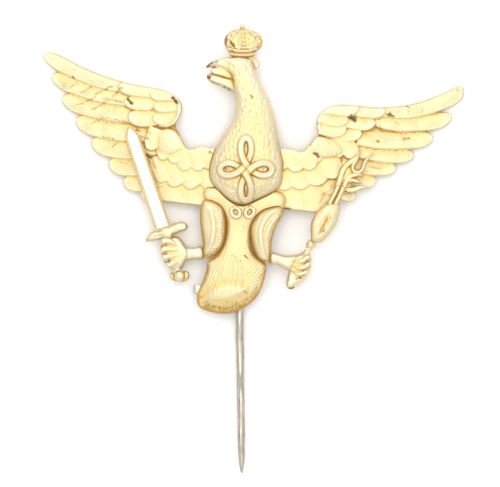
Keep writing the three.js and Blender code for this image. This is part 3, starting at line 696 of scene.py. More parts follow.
# ---- wings
def quills(rows, hand):
    """Long feathers, the first over the second and so on down."""
    return [feather(line, wide, 0.80 - 0.055 * n, hand=hand, seed=n, tilt=0.15, crown=0.12, barbs=0.075,
                    angle=0.86, pitch=0.62, shaft=0.012) for n, (line, wide) in enumerate(rows)]


def scales(rows, level, hand, *, tip=0.4, **look):
    """Short broad feathers of one row, each over the next."""
    return [feather(line, wide, level - 0.035 * n, hand=hand, seed=20 + n, tip=tip, shaft=0.01, **look)
            for n, (line, wide) in enumerate(rows)]


LEFT_QUILLS = [
    ([(-31.75, 29.35), (-28.7, 27.7), (-24.6, 25.75), (-20.8, 24.65), (-17.2, 24.0)], (2.5, 1.8)),
    ([(-30.5, 26.1), (-27.4, 24.9), (-23.6, 23.55), (-20.2, 22.9), (-16.8, 22.5)], (3.0, 2.5)),
    ([(-28.9, 22.8), (-26.0, 21.8), (-22.6, 20.9), (-19.2, 20.4), (-16.2, 20.2)], (3.1, 2.9)),
    ([(-26.8, 19.5), (-24.0, 18.5), (-21.0, 17.8), (-18.0, 17.6), (-15.2, 17.5)], (3.1, 2.9)),
    ([(-24.4, 16.3), (-22.0, 15.4), (-19.5, 15.0), (-17.0, 15.2), (-14.4, 15.7)], (3.0, 2.9)),
    ([(-21.75, 13.15), (-20.0, 12.5), (-17.8, 12.4), (-15.5, 12.8), (-13.2, 13.4)], (2.9, 2.8)),
    ([(-19.55, 10.45), (-18.2, 10.0), (-16.4, 9.95), (-14.6, 10.4), (-12.8, 11.0)], (2.6, 2.6)),
    ([(-16.95, 8.8), (-15.8, 8.4), (-14.2, 8.5), (-12.6, 9.2)], (2.3, 2.6)),
]
RIGHT_QUILLS = [
    ([(31.95, 24.2), (29.4, 22.75), (26.3, 21.45), (22.8, 20.6), (19.2, 20.7)], (2.8, 1.7)),
    ([(29.8, 20.1), (27.4, 19.3), (24.4, 19.0), (21.2, 19.0), (17.8, 19.7)], (2.6, 2.5)),
    ([(27.0, 16.8), (24.6, 16.5), (21.6, 16.35), (18.6, 16.4), (15.6, 16.9)], (2.7, 2.7)),
    ([(24.1, 14.1), (22.0, 14.1), (19.6, 14.15), (17.2, 14.6), (14.8, 15.0)], (2.4, 2.4)),
    ([(21.4, 12.1), (19.8, 12.2), (17.6, 12.25), (15.4, 12.6), (13.3, 13.1)], (2.3, 2.4)),
    ([(18.3, 10.2), (16.6, 10.35), (14.8, 10.7), (12.8, 11.2)], (2.2, 2.3)),
    ([(15.3, 8.1), (14.0, 8.3), (12.6, 8.8), (11.0, 9.4)], (2.2, 2.4)),
]


def web(outline):
    """The plain sheet that joins the feathers' roots."""
    return dome(outline, 0.42, 0.03, roll=0.05, samples=60)


COVERT = dict(tilt=0.10, crown=0.14, barbs=0.035, pitch=0.5, roll=0.2)
ARM = dict(tilt=0.03, crown=0.1, barbs=0.032, angle=1.2, pitch=0.5, roll=0.14)
SHOULDER = dict(ARM, tilt=0.02, barbs=0.03)


def left_wing():
    features = [web([(-18.0, 23.6), (-14.0, 23.3), (-11.2, 22.2), (-11.2, 19.0), (-10.6, 16.4), (-9.9, 14.8),
                     (-6.0, 14.8), (-5.5, 8.4), (-9.0, 7.6), (-13.6, 7.6), (-15.6, 9.8), (-17.2, 12.6),
                     (-19.0, 15.6), (-20.0, 19.4)])]
    features += quills(LEFT_QUILLS, 1)
    features += scales([([(-20.4, 24.4), (-18.4, 24.2), (-13.6, 23.6)], 2.5),
                        ([(-19.5, 22.2), (-17.6, 22.0), (-13.6, 21.9)], 2.4),
                        ([(-18.9, 20.2), (-17.0, 19.7), (-13.0, 20.2)], 2.8)], 1.0, 1, **COVERT)
    features += scales([([(-15.6, 23.2), (-14.2, 23.1), (-11.4, 23.2)], 1.9),
                        ([(-15.1, 21.6), (-13.7, 21.4), (-11.2, 21.6)], 2.0),
                        ([(-15.2, 19.9), (-13.8, 19.6), (-11.4, 20.1)], 2.1)], 1.14, 1, **COVERT)
    features.append(ribbon([(-13.4, 23.75), (-12.2, 23.0), (-11.35, 21.9), (-11.2, 20.6), (-11.7, 19.4),
                            (-12.9, 18.55), (-14.2, 18.45)], 1.25, 0.8, 0.6, taper=(0.5, 0.5)))
    features += scales([([(-16.0, 15.0), (-15.4, 16.0), (-14.6, 18.2)], 2.4),
                        ([(-13.9, 13.4), (-13.6, 14.6), (-13.2, 17.2)], 2.2),
                        ([(-12.2, 12.9), (-11.9, 14.2), (-11.4, 17.0)], 2.4),
                        ([(-10.2, 13.0), (-10.6, 14.3), (-10.8, 16.6)], 2.4)], 0.98, 1, **SHOULDER)
    features.append(dome([(-13.4, 18.2), (-12.0, 17.9), (-10.9, 16.6), (-10.3, 15.4), (-11.4, 14.5),
                          (-13.0, 14.0), (-14.2, 14.4), (-14.7, 15.8), (-14.5, 17.3)],
                         0.78, 0.34, detail=down(0.02, 31)))
    features += scales([([(-5.6, 11.9), (-6.4, 13.3), (-7.4, 15.9)], 3.0),
                        ([(-7.8, 11.9), (-8.5, 13.2), (-9.4, 15.9)], 2.8),
                        ([(-9.8, 12.0), (-10.4, 13.0), (-11.0, 15.4)], 2.6)], 0.98, 1, **ARM)
    features += scales([([(-5.6, 9.3), (-6.9, 11.0), (-8.0, 13.8)], 3.4),
                        ([(-8.4, 9.5), (-9.6, 11.0), (-10.6, 13.8)], 3.3),
                        ([(-11.0, 9.7), (-12.0, 11.2), (-12.8, 13.8)], 3.1),
                        ([(-13.2, 10.2), (-14.0, 11.8), (-14.6, 14.0)], 2.8)], 0.80, 1, tip=0.26, **ARM)
    features += scales([([(-5.6, 5.6), (-7.4, 8.3), (-8.8, 11.0)], 3.3),
                        ([(-8.0, 5.7), (-9.9, 8.2), (-11.2, 11.0)], 3.2),
                        ([(-10.4, 5.9), (-12.3, 8.2), (-13.6, 10.8)], 3.2),
                        ([(-12.9, 6.2), (-14.3, 8.5), (-14.9, 10.8)], 2.6)], 0.56, 1, tip=0.15, **ARM)
    pits = [(-12.1, 22.7, -11.7, 22.1, 0.3, 0.95), (-18.95, 22.5, -18.3, 21.9, 0.24, 0.9),
            (-18.9, 22.9, 0.14), (-15.35, 20.95, 0.24), (-17.7, 18.0, -17.2, 17.75, 0.16, 0.8),
            (-16.1, 14.2, -15.4, 13.6, 0.26, 0.8), (-15.2, 13.2, -14.9, 11.8, 0.2, 0.45),
            (-27.5, 26.1, -27.2, 25.8, 0.13, 0.7), (-20.3, 24.3, -19.9, 23.8, 0.12, 0.5),
            (-27.9, 24.3, -26.6, 25.0, 0.11, 0.4), (-25.9, 23.6, -24.4, 24.5, 0.14, 0.5),
            (-23.8, 23.3, -21.4, 24.5, 0.16, 0.5), (-21.3, 23.0, -19.8, 24.2, 0.2, 0.6),
            (-26.6, 21.7, -23.8, 22.9, 0.14, 0.5), (-24.2, 21.2, -21.8, 22.4, 0.18, 0.55),
            (-22.4, 22.6, -19.9, 22.1, 0.12, 0.5), (-23.1, 19.8, -19.0, 19.1, 0.12, 0.5),
            (-25.1, 18.7, -23.0, 19.5, 0.12, 0.45), (-23.4, 19.2, 0.13),
            (-22.7, 16.95, -21.2, 16.6, 0.14, 0.6), (-21.2, 15.4, -20.7, 16.0, 0.12, 0.6),
            (-17.2, 16.9, -15.9, 16.6, 0.13, 0.5), (-16.5, 17.9, -15.6, 17.3, 0.1, 0.5),
            (-14.3, 19.5, 0.1), (-7.7, 12.1, -7.0, 12.0, 0.12, 0.6), (-6.7, 14.6, -6.1, 14.2, 0.16, 0.7),
            (-6.6, 13.0, 0.1), (-20.3, 13.2, -18.6, 12.7, 0.12, 0.4)]
    struck("left_wing_relief", "left_wing", "gilt_wing", features, WING_GILT,
           cuts=(BODY, LEFT_THIGH, TAIL), pits=pits, trim=LEFT_EDGE)


def right_wing():
    features = [web([(18.0, 20.6), (14.0, 21.0), (10.6, 20.4), (9.8, 18.4), (9.6, 16.4), (8.2, 14.6),
                     (4.0, 14.8), (3.6, 7.2), (7.0, 6.4), (11.2, 6.6), (12.8, 9.2), (15.2, 11.2),
                     (18.0, 13.4), (19.4, 16.0), (21.4, 18.6)])]
    features += quills(RIGHT_QUILLS, -1)
    features += scales([([(19.8, 20.8), (18.0, 20.5), (14.2, 20.9)], 1.9),
                        ([(18.3, 19.0), (16.2, 18.8), (12.8, 19.5)], 2.1),
                        ([(16.2, 17.5), (14.2, 17.1), (11.0, 17.8)], 2.1)], 1.0, -1, **COVERT)
    features += scales([([(15.8, 21.2), (13.6, 20.8), (10.4, 21.2)], 1.9),
                        ([(14.2, 19.5), (12.2, 19.3), (9.4, 20.1)], 2.1),
                        ([(13.9, 18.1), (12.0, 17.8), (9.4, 18.4)], 2.2)], 1.14, -1, **COVERT)
    features.append(ribbon([(12.4, 21.5), (10.9, 20.9), (10.0, 19.9), (9.8, 18.7), (10.1, 17.4)],
                           1.1, 0.8, 0.5,
                           taper=(0.6, 0.6)))
    features += scales([([(15.4, 13.6), (14.4, 15.0), (12.8, 17.0)], 2.6),
                        ([(13.2, 13.9), (12.6, 14.8), (11.4, 16.6)], 2.2)], 0.92, -1, **ARM)
    features.append(dome([(8.7, 16.2), (9.7, 17.0), (11.4, 16.6), (13.0, 15.7), (13.4, 14.6), (12.4, 13.9),
                          (10.8, 13.6), (9.4, 13.9), (8.2, 14.8)], 0.85, 0.30, detail=down(0.06, 33)))
    features.append(dome([(8.2, 15.6), (9.4, 14.6), (10.6, 13.8), (9.8, 12.9), (8.6, 12.7), (7.8, 13.6),
                          (7.5, 14.6)], 0.82, 0.28, detail=down(0.03, 35)))
    features += scales([([(9.2, 12.3), (8.2, 13.2), (6.6, 15.6)], 2.8),
                        ([(6.9, 11.75), (6.2, 13.0), (5.0, 15.8)], 3.0),
                        ([(4.5, 11.9), (4.0, 13.2), (3.2, 15.8)], 2.8)], 0.98, -1, **ARM)
    features += scales([([(12.3, 10.6), (11.9, 12.0), (10.8, 14.6)], 3.2),
                        ([(9.9, 9.6), (9.4, 11.2), (8.4, 13.8)], 3.3),
                        ([(7.3, 9.0), (6.9, 10.8), (6.0, 13.4)], 3.2),
                        ([(4.9, 8.9), (4.5, 10.6), (3.8, 13.2)], 3.0)], 0.80, -1, tip=0.26, **ARM)
    features += scales([([(9.5, 4.7), (9.2, 7.4), (8.2, 10.4)], 3.3),
                        ([(7.3, 4.6), (6.8, 7.2), (5.6, 10.2)], 3.2),
                        ([(5.1, 4.9), (4.7, 7.2), (3.8, 10.0)], 2.9),
                        ([(11.3, 7.0), (11.2, 8.6), (10.6, 10.4)], 2.4)], 0.56, -1, tip=0.17, **ARM)
    pits = [(14.5, 19.7, 14.9, 19.55, 0.42, 1.0), (20.2, 20.35, 20.9, 20.0, 0.24, 0.8),
            (18.3, 18.5, 19.2, 17.9, 0.2, 0.6), (18.9, 18.6, 0.16), (22.6, 16.6, 23.3, 16.7, 0.2, 0.65),
            (18.5, 16.3, 18.9, 16.1, 0.16, 0.6), (9.0, 14.5, 9.6, 13.9, 0.24, 0.85), (30.7, 24.0, 0.16),
            (29.2, 23.3, 0.1), (23.0, 21.45, 23.4, 21.35, 0.13, 0.6), (14.8, 20.9, 15.1, 20.6, 0.1, 0.5),
            (21.2, 19.2, 22.0, 18.7, 0.12, 0.5), (23.8, 19.0, 0.14), (23.3, 17.6, 25.0, 17.75, 0.1, 0.4),
            (17.3, 12.4, 19.0, 12.1, 0.14, 0.6), (19.0, 13.4, 0.12), (16.9, 11.6, 0.12), (21.0, 14.9, 0.1),
            (24.5, 12.8, 24.9, 12.7, 0.1, 0.5), (4.6, 6.1, 5.3, 5.8, 0.3, 0.9),
            (4.4, 13.3, 4.6, 11.6, 0.12, 0.45), (10.6, 8.2, 12.1, 9.6, 0.24, 0.35),
            (10.0, 7.2, 10.8, 8.4, 0.16, 0.4), (16.6, 19.0, 17.4, 19.1, 0.1, 0.4)]
    struck("right_wing_relief", "right_wing", "gilt_wing", features, WING_GILT,
           cuts=(BODY, RIGHT_THIGH, TAIL), pits=pits, trim=RIGHT_EDGE)


def down(amount, seed):
    """Fluffy down: short curved strokes."""
    def detail(x, y, inside):
        sway = noise(x, y, 1.6, seed) * 1.8
        strokes = wave(x * 0.8 + y * 0.45 + sway, 0.5)
        return amount * strokes * (0.6 + 0.5 * noise(x, y, 0.7, seed + 1)) * smooth(0.1, 0.5, inside)
    return detail


# ---- body, head and beak
NECK = [(-2.4, 28.6), (-1.6, 26.2), (-0.5, 23.4), (0.1, 20.2), (-0.3, 17.2), (-1.1, 13.2), (-1.3, 9.2),
        (-1.2, 6.2)]


def plumage(x, y, inside):
    """Short curved neck feathers in rows that follow the neck, with fine hairs between them."""
    t, side, arc = along(curve(NECK, 30), x, y)
    wander = 0.5 * noise(x, y, 1.5, 41)
    rows = (arc + 0.35 * np.abs(side) + wander) / 0.95
    stagger = side / 0.72 + 0.5 * (np.floor(rows) % 2) + 0.4 * noise(x, y, 1.1, 42)
    down_row = rows - np.floor(rows)
    across = (stagger - np.floor(stagger) - 0.5) * 2
    tuft = np.clip(1 - across**2 - (down_row - 0.35) ** 2 * 2.2, 0, 1)
    hairs = noise(side, arc * 0.3, 0.2, 43) + 0.5 * noise(side, arc * 0.4, 0.12, 44)
    depth = 0.6 + 0.6 * noise(x, y, 1.3, 45)
    return (0.11 * tuft * depth + 0.035 * hairs) * smooth(0.1, 0.5, inside)


SMOOTH_BODY = dome(BODY, 1.1, 0.62, roof=3.6, roll=0.08, ease=0.5, closed_curve=False)


def head_height(x, y):
    """The body's own height, without its feather strokes; level beside it."""
    inside, height = SMOOTH_BODY[0](x, y)
    return np.where(inside > 0, height, 1.0)


def body():
    upper_beak = dome([(-1.6, 28.6), (-3.2, 28.85), (-4.6, 28.75), (-5.7, 28.35), (-6.7, 27.9), (-7.3, 27.25),
                       (-6.6, 27.3), (-5.8, 27.15), (-4.8, 26.6), (-3.9, 25.95), (-2.9, 25.2), (-1.4, 25.6),
                       (-1.0, 27.2)], 0.9, 0.78, roof=1.7, roll=0.22, samples=70)
    lower_beak = dome([(-1.4, 25.6), (-2.9, 25.55), (-4.1, 25.75), (-5.4, 26.15), (-6.6, 26.35),
                       (-7.05, 26.1), (-6.9, 25.4), (-6.2, 24.9), (-5.2, 24.55), (-4.3, 24.1),
                       (-3.4, 23.65), (-1.8, 23.3)],
                      0.8, 0.75, roof=1.2, roll=0.22, samples=70)
    floor = dome([(-1.8, 25.0), (-3.2, 25.4), (-4.8, 25.9), (-6.2, 26.3), (-6.5, 26.7), (-5.9, 27.2),
                  (-4.2, 26.9), (-2.2, 26.2)],
                 1.5, 0.12, samples=36)

    def feathered(x, y):
        inside, height = SMOOTH_BODY[0](x, y)
        return inside, height + plumage(x, y, inside)

    def head_lines(x, y):
        """Grooves of the brow and of the mouth's corner."""
        cut = np.zeros_like(x)
        for line, wide, deep in (([(-5.4, 28.1), (-4.4, 28.0), (-3.4, 27.6), (-2.7, 27.0)], 0.16, 0.10),
                                 ([(-6.4, 27.6), (-5.2, 27.35), (-4.2, 26.8), (-3.4, 26.2), (-2.8, 25.6)],
                                  0.14, 0.12),
                                 ([(-6.4, 25.6), (-5.4, 25.45), (-4.2, 25.1), (-3.2, 25.0)], 0.14, 0.10),
                                 ([(-2.6, 28.6), (-1.6, 28.0), (-0.8, 27.2)], 0.14, 0.09),
                                 ([(-1.8, 28.7), (-0.6, 27.9), (0.1, 27.1)], 0.14, 0.09)):
            t, side, _ = along(curve(line, 16), x, y)
            cut = cut + deep * bell(side, wide) * smooth(0, 0.15, t) * smooth(1, 0.85, t)
        return cut

    head = merged([(feathered, SMOOTH_BODY[1], SMOOTH_BODY[2]), upper_beak, lower_beak], 0.16)

    def carved(x, y):
        inside, height = head[0](x, y)
        return inside, height - head_lines(x, y)

    # The stroke from (-6.3, 25.05) to (-3.7, 23.85) is painted shade under the lower jaw.
    pits = [(-0.4, 22.9, -0.1, 22.5, 0.16, 0.7), (-0.9, 23.1, 0.12), (-1.3, 18.8, 0.13), (0.3, 18.7, 0.12),
            (-2.5, 18.4, 0.12), (-0.6, 20.6, 0.14), (0.4, 20.3, 0.13), (-5.6, 16.2, 0.1),
            (-7.2, 27.55, -5.9, 28.25, 0.34, 0.8), (-7.1, 25.95, -6.75, 25.75, 0.3, 0.85),
            (-6.3, 25.05, -3.7, 23.85, 0.17, 0.6), (-3.4, 25.9, -3.1, 25.3, 0.12, 0.6),
            (3.75, 16.4, 3.8, 15.6, 0.13, 0.5), (-3.7, 27.7, 0.12), (-2.9, 23.2, 0.1), (-3.0, 22.4, 0.1),
            (2.2, 22.2, 0.1), (2.6, 20.4, 0.1), (1.4, 19.8, 0.11), (-1.6, 21.2, 0.1)]
    struck("body_relief", "body_shell", "gilt_body", [(carved, head[1], head[2]), floor], BODY_GILT,
           pits=pits, sheet=THICK_SHEET)


# ---- tail and thighs
TAIL_ROOT = (-2.1, 1.2)


def tail_pattern(x, y, inside):
    """Herringbone columns in the middle, slanting strokes to the right, upright bands to the left."""
    turn = np.arctan2(x - TAIL_ROOT[0], TAIL_ROOT[1] + 3.5 - y)
    reach = np.hypot(x - TAIL_ROOT[0], TAIL_ROOT[1] + 3.5 - y)
    turn = turn + 0.03 * noise(x, y, 1.2, 51)
    column = turn / 0.092
    within = np.abs(column - np.round(column)) * 2
    middle = smooth(-0.36, -0.16, turn) * smooth(0.16, 0.06, turn)
    right = smooth(0.06, 0.16, turn)
    left = smooth(-0.16, -0.36, turn)
    herring = wave(reach + 0.55 * within, 0.46)
    seams = -bell(within - 1, 0.35)
    slant = wave(reach * 0.75 + 2.6 * turn + 0.12 * noise(x, y, 1.0, 52), 0.34)
    bands = np.sin(2 * math.pi * turn / 0.05 + 0.8 * noise(x, y, 1.5, 53))
    dashes = noise(x / 0.45, y, 0.5, 54)
    lines = (middle * (0.06 * herring + 0.07 * seams) + right * 0.045 * slant
             + left * (0.045 * bands + 0.04 * dashes))
    fan = smooth(-0.6, -1.8, y)
    lip = smooth(1.6, 0.9, inside) * smooth(-5.8, -7.4, y)
    bulge = smooth(-4.6, -6.4, y)
    dots = np.maximum(noise(x, y, 0.30, 55), noise(x, y, 0.22, 56)) - 0.3
    chevrons = wave(inside + 0.25 * np.abs(noise(x, y, 0.5, 58)), 0.55)
    faint = 0.014 * noise(x, y, 0.5, 57)
    tuft = wave(y * 0.5 + np.abs(x + 1.7) * 1.1, 0.75) * smooth(-1.9, -0.6, y) * smooth(0.8, -0.2, y)
    return (lines * fan * (1 - 0.6 * bulge) * smooth(0.2, 0.7, inside) + faint + 0.02 * tuft
            + lip * (0.12 * dots + 0.03 * chevrons) - 0.42 * smooth(1.3, 0.1, inside) * smooth(-5.8, -7.4, y))


def tail():
    fan = outline_of([(-7.0, -1.8), (-4.9, -0.3), (-4.1, 1.6), (-0.6, 1.6), (0.0, -0.5), (1.75, -2.3),
                      (1.75, -3.5), (1.38, -5.1), (0.55, -7.0), (-0.8, -8.35), (-2.85, -9.45),
                      (-4.8, -9.7), (-7.1, -9.25), (-8.35, -8.5), (-8.6, -7.2), (-8.15, -5.8),
                      (-7.55, -4.4), (-7.1, -3.0)])
    base = dome(fan, 0.8, 0.5, roof=2.2, roll=0.06, ease=0.5, closed_curve=False)
    throat = dome(TAIL, 0.75, 0.38, roof=1.7, roll=0.06, ease=0.5, closed_curve=False)
    lobe = dome([(-7.4, -6.4), (-6.2, -5.2), (-4.0, -4.6), (-1.9, -4.9), (-0.6, -5.9), (-1.6, -7.3),
                 (-3.6, -8.2), (-5.8, -8.5), (-7.3, -8.0)], 1.2, 0.7, roof=1.4, roll=0.02)

    def field(x, y):
        inside, low = base[0](x, y)
        within, high = throat[0](x, y)
        puff, bump = lobe[0](x, y)
        share = smooth(-2.6, -0.2, y)
        height = np.where(inside > -0.1, low * (1 - share) + high * share, high)
        height = height + 0.55 * np.clip(bump - 1.2, 0, 2) * smooth(-0.4, 1.2, puff)
        return within, height + tail_pattern(x, y, within)

    pits = [(-3.2, -0.95, 0.15), (-3.0, -1.0, -2.6, -1.3, 0.1, 0.5), (-1.3, -1.0, -1.0, -1.3, 0.13, 0.8),
            (-2.0, -1.75, 0.12), (-1.5, 3.35, 0.16), (-1.1, 1.2, 0.1), (-3.8, 4.35, 0.13), (-3.9, 3.6, 0.1),
            (-1.4, -6.3, -1.0, -6.6, 0.1, 0.7), (-7.2, -8.6, -4.6, -9.0, 0.46, 0.44),
            (-4.6, -9.0, -1.8, -8.5, 0.5, 0.46), (-1.8, -8.5, 0.4, -6.4, 0.4, 0.4),
            (-7.2, -7.9, -6.7, -8.2, 0.2, 0.5), (-5.4, -7.1, 0.13), (-4.1, -7.9, 0.13), (-2.6, -8.0, 0.14),
            (-7.9, -6.9, 0.12), (0.9, -4.3, 1.1, -3.8, 0.14, 0.4), (0.2, -6.2, 0.5, -5.4, 0.14, 0.4),
            (-6.9, -2.4, -7.1, -3.6, 0.14, 0.35), (-2.0, -2.8, 0.1), (-2.6, -3.8, 0.09), (-1.2, -3.2, 0.09)]
    struck("tail_relief", "tail", "gilt_tail", [(field, throat[1], throat[2])], TAIL_GILT,
           cuts=(BODY, LEFT_THIGH, RIGHT_THIGH), pits=pits, step=0.075)


def thigh_detail(ridge, seed):
    """A crest along a line, beaded hairs on its inner side, and a plain outer side."""
    points = curve(ridge, 30)
    pitch = 0.48

    def detail(x, y, inside):
        t, side, arc = along(points, x, y)
        hairs = wave(side + 0.25 * noise(x, y, 1.4, seed), pitch)
        beads = np.sin(2 * math.pi * arc / 0.42 + 3 * np.round(side / pitch))
        rows = smooth(0.2, 0.5, side)
        crest = 0.16 * bell(side, 0.34) * smooth(0, 0.2, t) * smooth(1, 0.75, t)
        groove = -0.07 * bell(side - 0.45, 0.16)
        plain = smooth(0.1, -0.3, side)
        strokes = (0.05 * hairs + 0.05 * beads) * rows + 0.012 * hairs * plain
        return (strokes + crest + groove) * smooth(0.1, 0.45, inside)
    return detail


def thighs():
    left = dome(LEFT_THIGH, 1.0, 0.85, roof=2.4, roll=0.08, ease=0.5, closed_curve=False,
                detail=thigh_detail([(-6.9, 6.8), (-6.3, 5.2), (-6.0, 3.2), (-6.3, 1.2), (-7.0, -0.6)], 61))
    struck("left_thigh_relief", "left_thigh", "gilt_body", [left], BODY_GILT, sheet=THICK_SHEET,
           pits=[(-7.5, -1.2, -7.0, -0.8, 0.24, 0.45), (-6.6, -0.7, -5.6, 0.1, 0.2, 0.35), (-7.3, 6.6, 0.1)])
    right = dome(RIGHT_THIGH, 1.0, 0.85, roof=2.4, roll=0.08, ease=0.5, closed_curve=False,
                 detail=thigh_detail([(4.0, 6.2), (2.2, 5.2), (1.1, 3.4), (1.0, 1.4), (1.6, -1.2)], 63))
    struck("right_thigh_relief", "right_thigh", "gilt_body", [right], BODY_GILT, sheet=THICK_SHEET,
           pits=[(1.0, -1.6, 2.1, -1.9, 0.26, 0.5), (3.9, 5.6, 4.3, 5.9, 0.16, 0.35)])


# ---- claws, sword and sceptre
def soft_noise(amount, scale, seed):
    def detail(x, y, inside):
        return amount * noise(x, y, scale, seed) * smooth(0.05, 0.3, inside)
    return detail


def toe(line, wide, level, thick):
    return ribbon(line, wide, level, thick, taper=(0.12, 0.6))


def left_claw():
    fist = merged([
        dome([(-7.75, 0.35), (-9.3, 0.3), (-10.4, 0.6), (-11.2, 1.7), (-12.4, 0.2), (-12.3, -1.6),
              (-11.0, -2.6), (-10.3, -1.9), (-9.2, -1.6), (-7.6, -1.4)],
             0.75, 1.05, roof=1.6, detail=soft_noise(0.03, 0.4, 71)),
        dome([(-13.4, 1.75), (-14.0, 0.7), (-13.9, -0.9), (-13.0, -2.6), (-12.0, -3.1), (-10.8, -2.9),
              (-10.0, -1.2), (-10.0, 0.1), (-11.2, 1.75), (-12.6, 1.9)], 1.0, 0.9, roof=1.5, roll=0.04)], 0.3)
    toes = [
        toe([(-13.85, 1.0), (-13.2, 1.25), (-12.4, 1.1), (-11.5, 0.5)], 1.1, 1.7, 0.6),
        toe([(-13.95, -0.2), (-13.2, 0.05), (-12.4, 0.0), (-11.4, -0.2)], 1.1, 1.75, 0.6),
        toe([(-13.6, -1.35), (-13.0, -1.1), (-12.2, -1.0), (-11.3, -0.9)], 1.05, 1.7, 0.6),
        toe([(-13.0, -2.5), (-12.4, -2.2), (-11.7, -1.9), (-11.0, -1.5)], 1.0, 1.55, 0.6),
    ]
    pits = [(-14.0, -0.85, -13.2, -0.65, 0.2, 0.7), (-13.6, -2.0, -12.7, -1.7, 0.22, 0.74),
            (-14.0, 0.4, -13.2, 0.6, 0.2, 0.6), (-11.2, 1.3, 0.14), (-12.6, -2.75, 0.14),
            (-10.9, -2.5, 0.12), (-12.9, 1.6, -12.0, 1.7, 0.12, 0.4)]
    gilded("left_claw_relief", "left_claw", [fist, *toes], cuts=(LEFT_THIGH,), pits=pits,
           step=0.07)


def right_claw():
    fist = merged([
        dome([(2.5, -0.45), (4.65, -0.9), (6.2, -0.8), (7.7, -0.4), (8.0, -1.6), (7.0, -3.0), (5.8, -3.4),
              (4.65, -2.95), (3.4, -2.3), (2.4, -2.1)],
             0.75, 1.05, roof=1.6, detail=soft_noise(0.03, 0.4, 72)),
        dome([(6.0, -1.3), (7.6, -0.6), (8.5, -0.9), (8.55, -2.6), (8.0, -4.1), (7.1, -5.0), (5.8, -5.95),
              (4.95, -5.75), (4.85, -5.0), (5.2, -3.3)], 1.0, 0.9, roof=1.5, roll=0.04)], 0.3)
    toes = [
        toe([(8.25, -1.0), (7.4, -1.65), (6.6, -1.9), (5.9, -1.8)], 0.95, 1.7, 0.58),
        toe([(8.4, -2.05), (7.5, -2.65), (6.7, -2.8), (5.9, -2.5)], 0.95, 1.75, 0.58),
        toe([(8.05, -3.25), (7.3, -3.65), (6.5, -3.7), (5.8, -3.3)], 0.9, 1.7, 0.58),
        toe([(5.1, -5.5), (5.7, -5.0), (6.4, -4.7), (7.1, -4.5)], 1.1, 1.4, 0.5),
    ]
    pits = [(6.4, -4.45, 7.0, -4.2, 0.22, 0.6), (8.4, -1.5, 7.5, -2.2, 0.16, 0.55),
            (8.4, -2.6, 7.4, -3.2, 0.16, 0.55), (7.8, -3.8, 7.0, -4.15, 0.16, 0.55),
            (5.2, -5.85, 5.9, -5.8, 0.22, 0.8), (5.9, -2.1, 0.1), (7.4, -1.4, 0.1), (5.2, -3.1, 0.1)]
    gilded("right_claw_relief", "right_claw", [fist, *toes], cuts=(RIGHT_THIGH,), pits=pits,
           step=0.07)


BLADE_LIFT = 1.5  # the blade and the sceptre lie on the feathers
GRIP_AXIS = 1.1  # axis of the grip and the stick above the bow
GUARD = np.array([-13.35, 2.36])
SWORD_WAY = np.array([0.322, -0.947])  # from the point towards the pommel
KNOP = np.array([8.52, 0.64])
SCEPTRE_WAY = np.array([-0.447, -0.894])  # from the knop down through the claw


def at(start, way, distance):
    return tuple(start + way * distance)


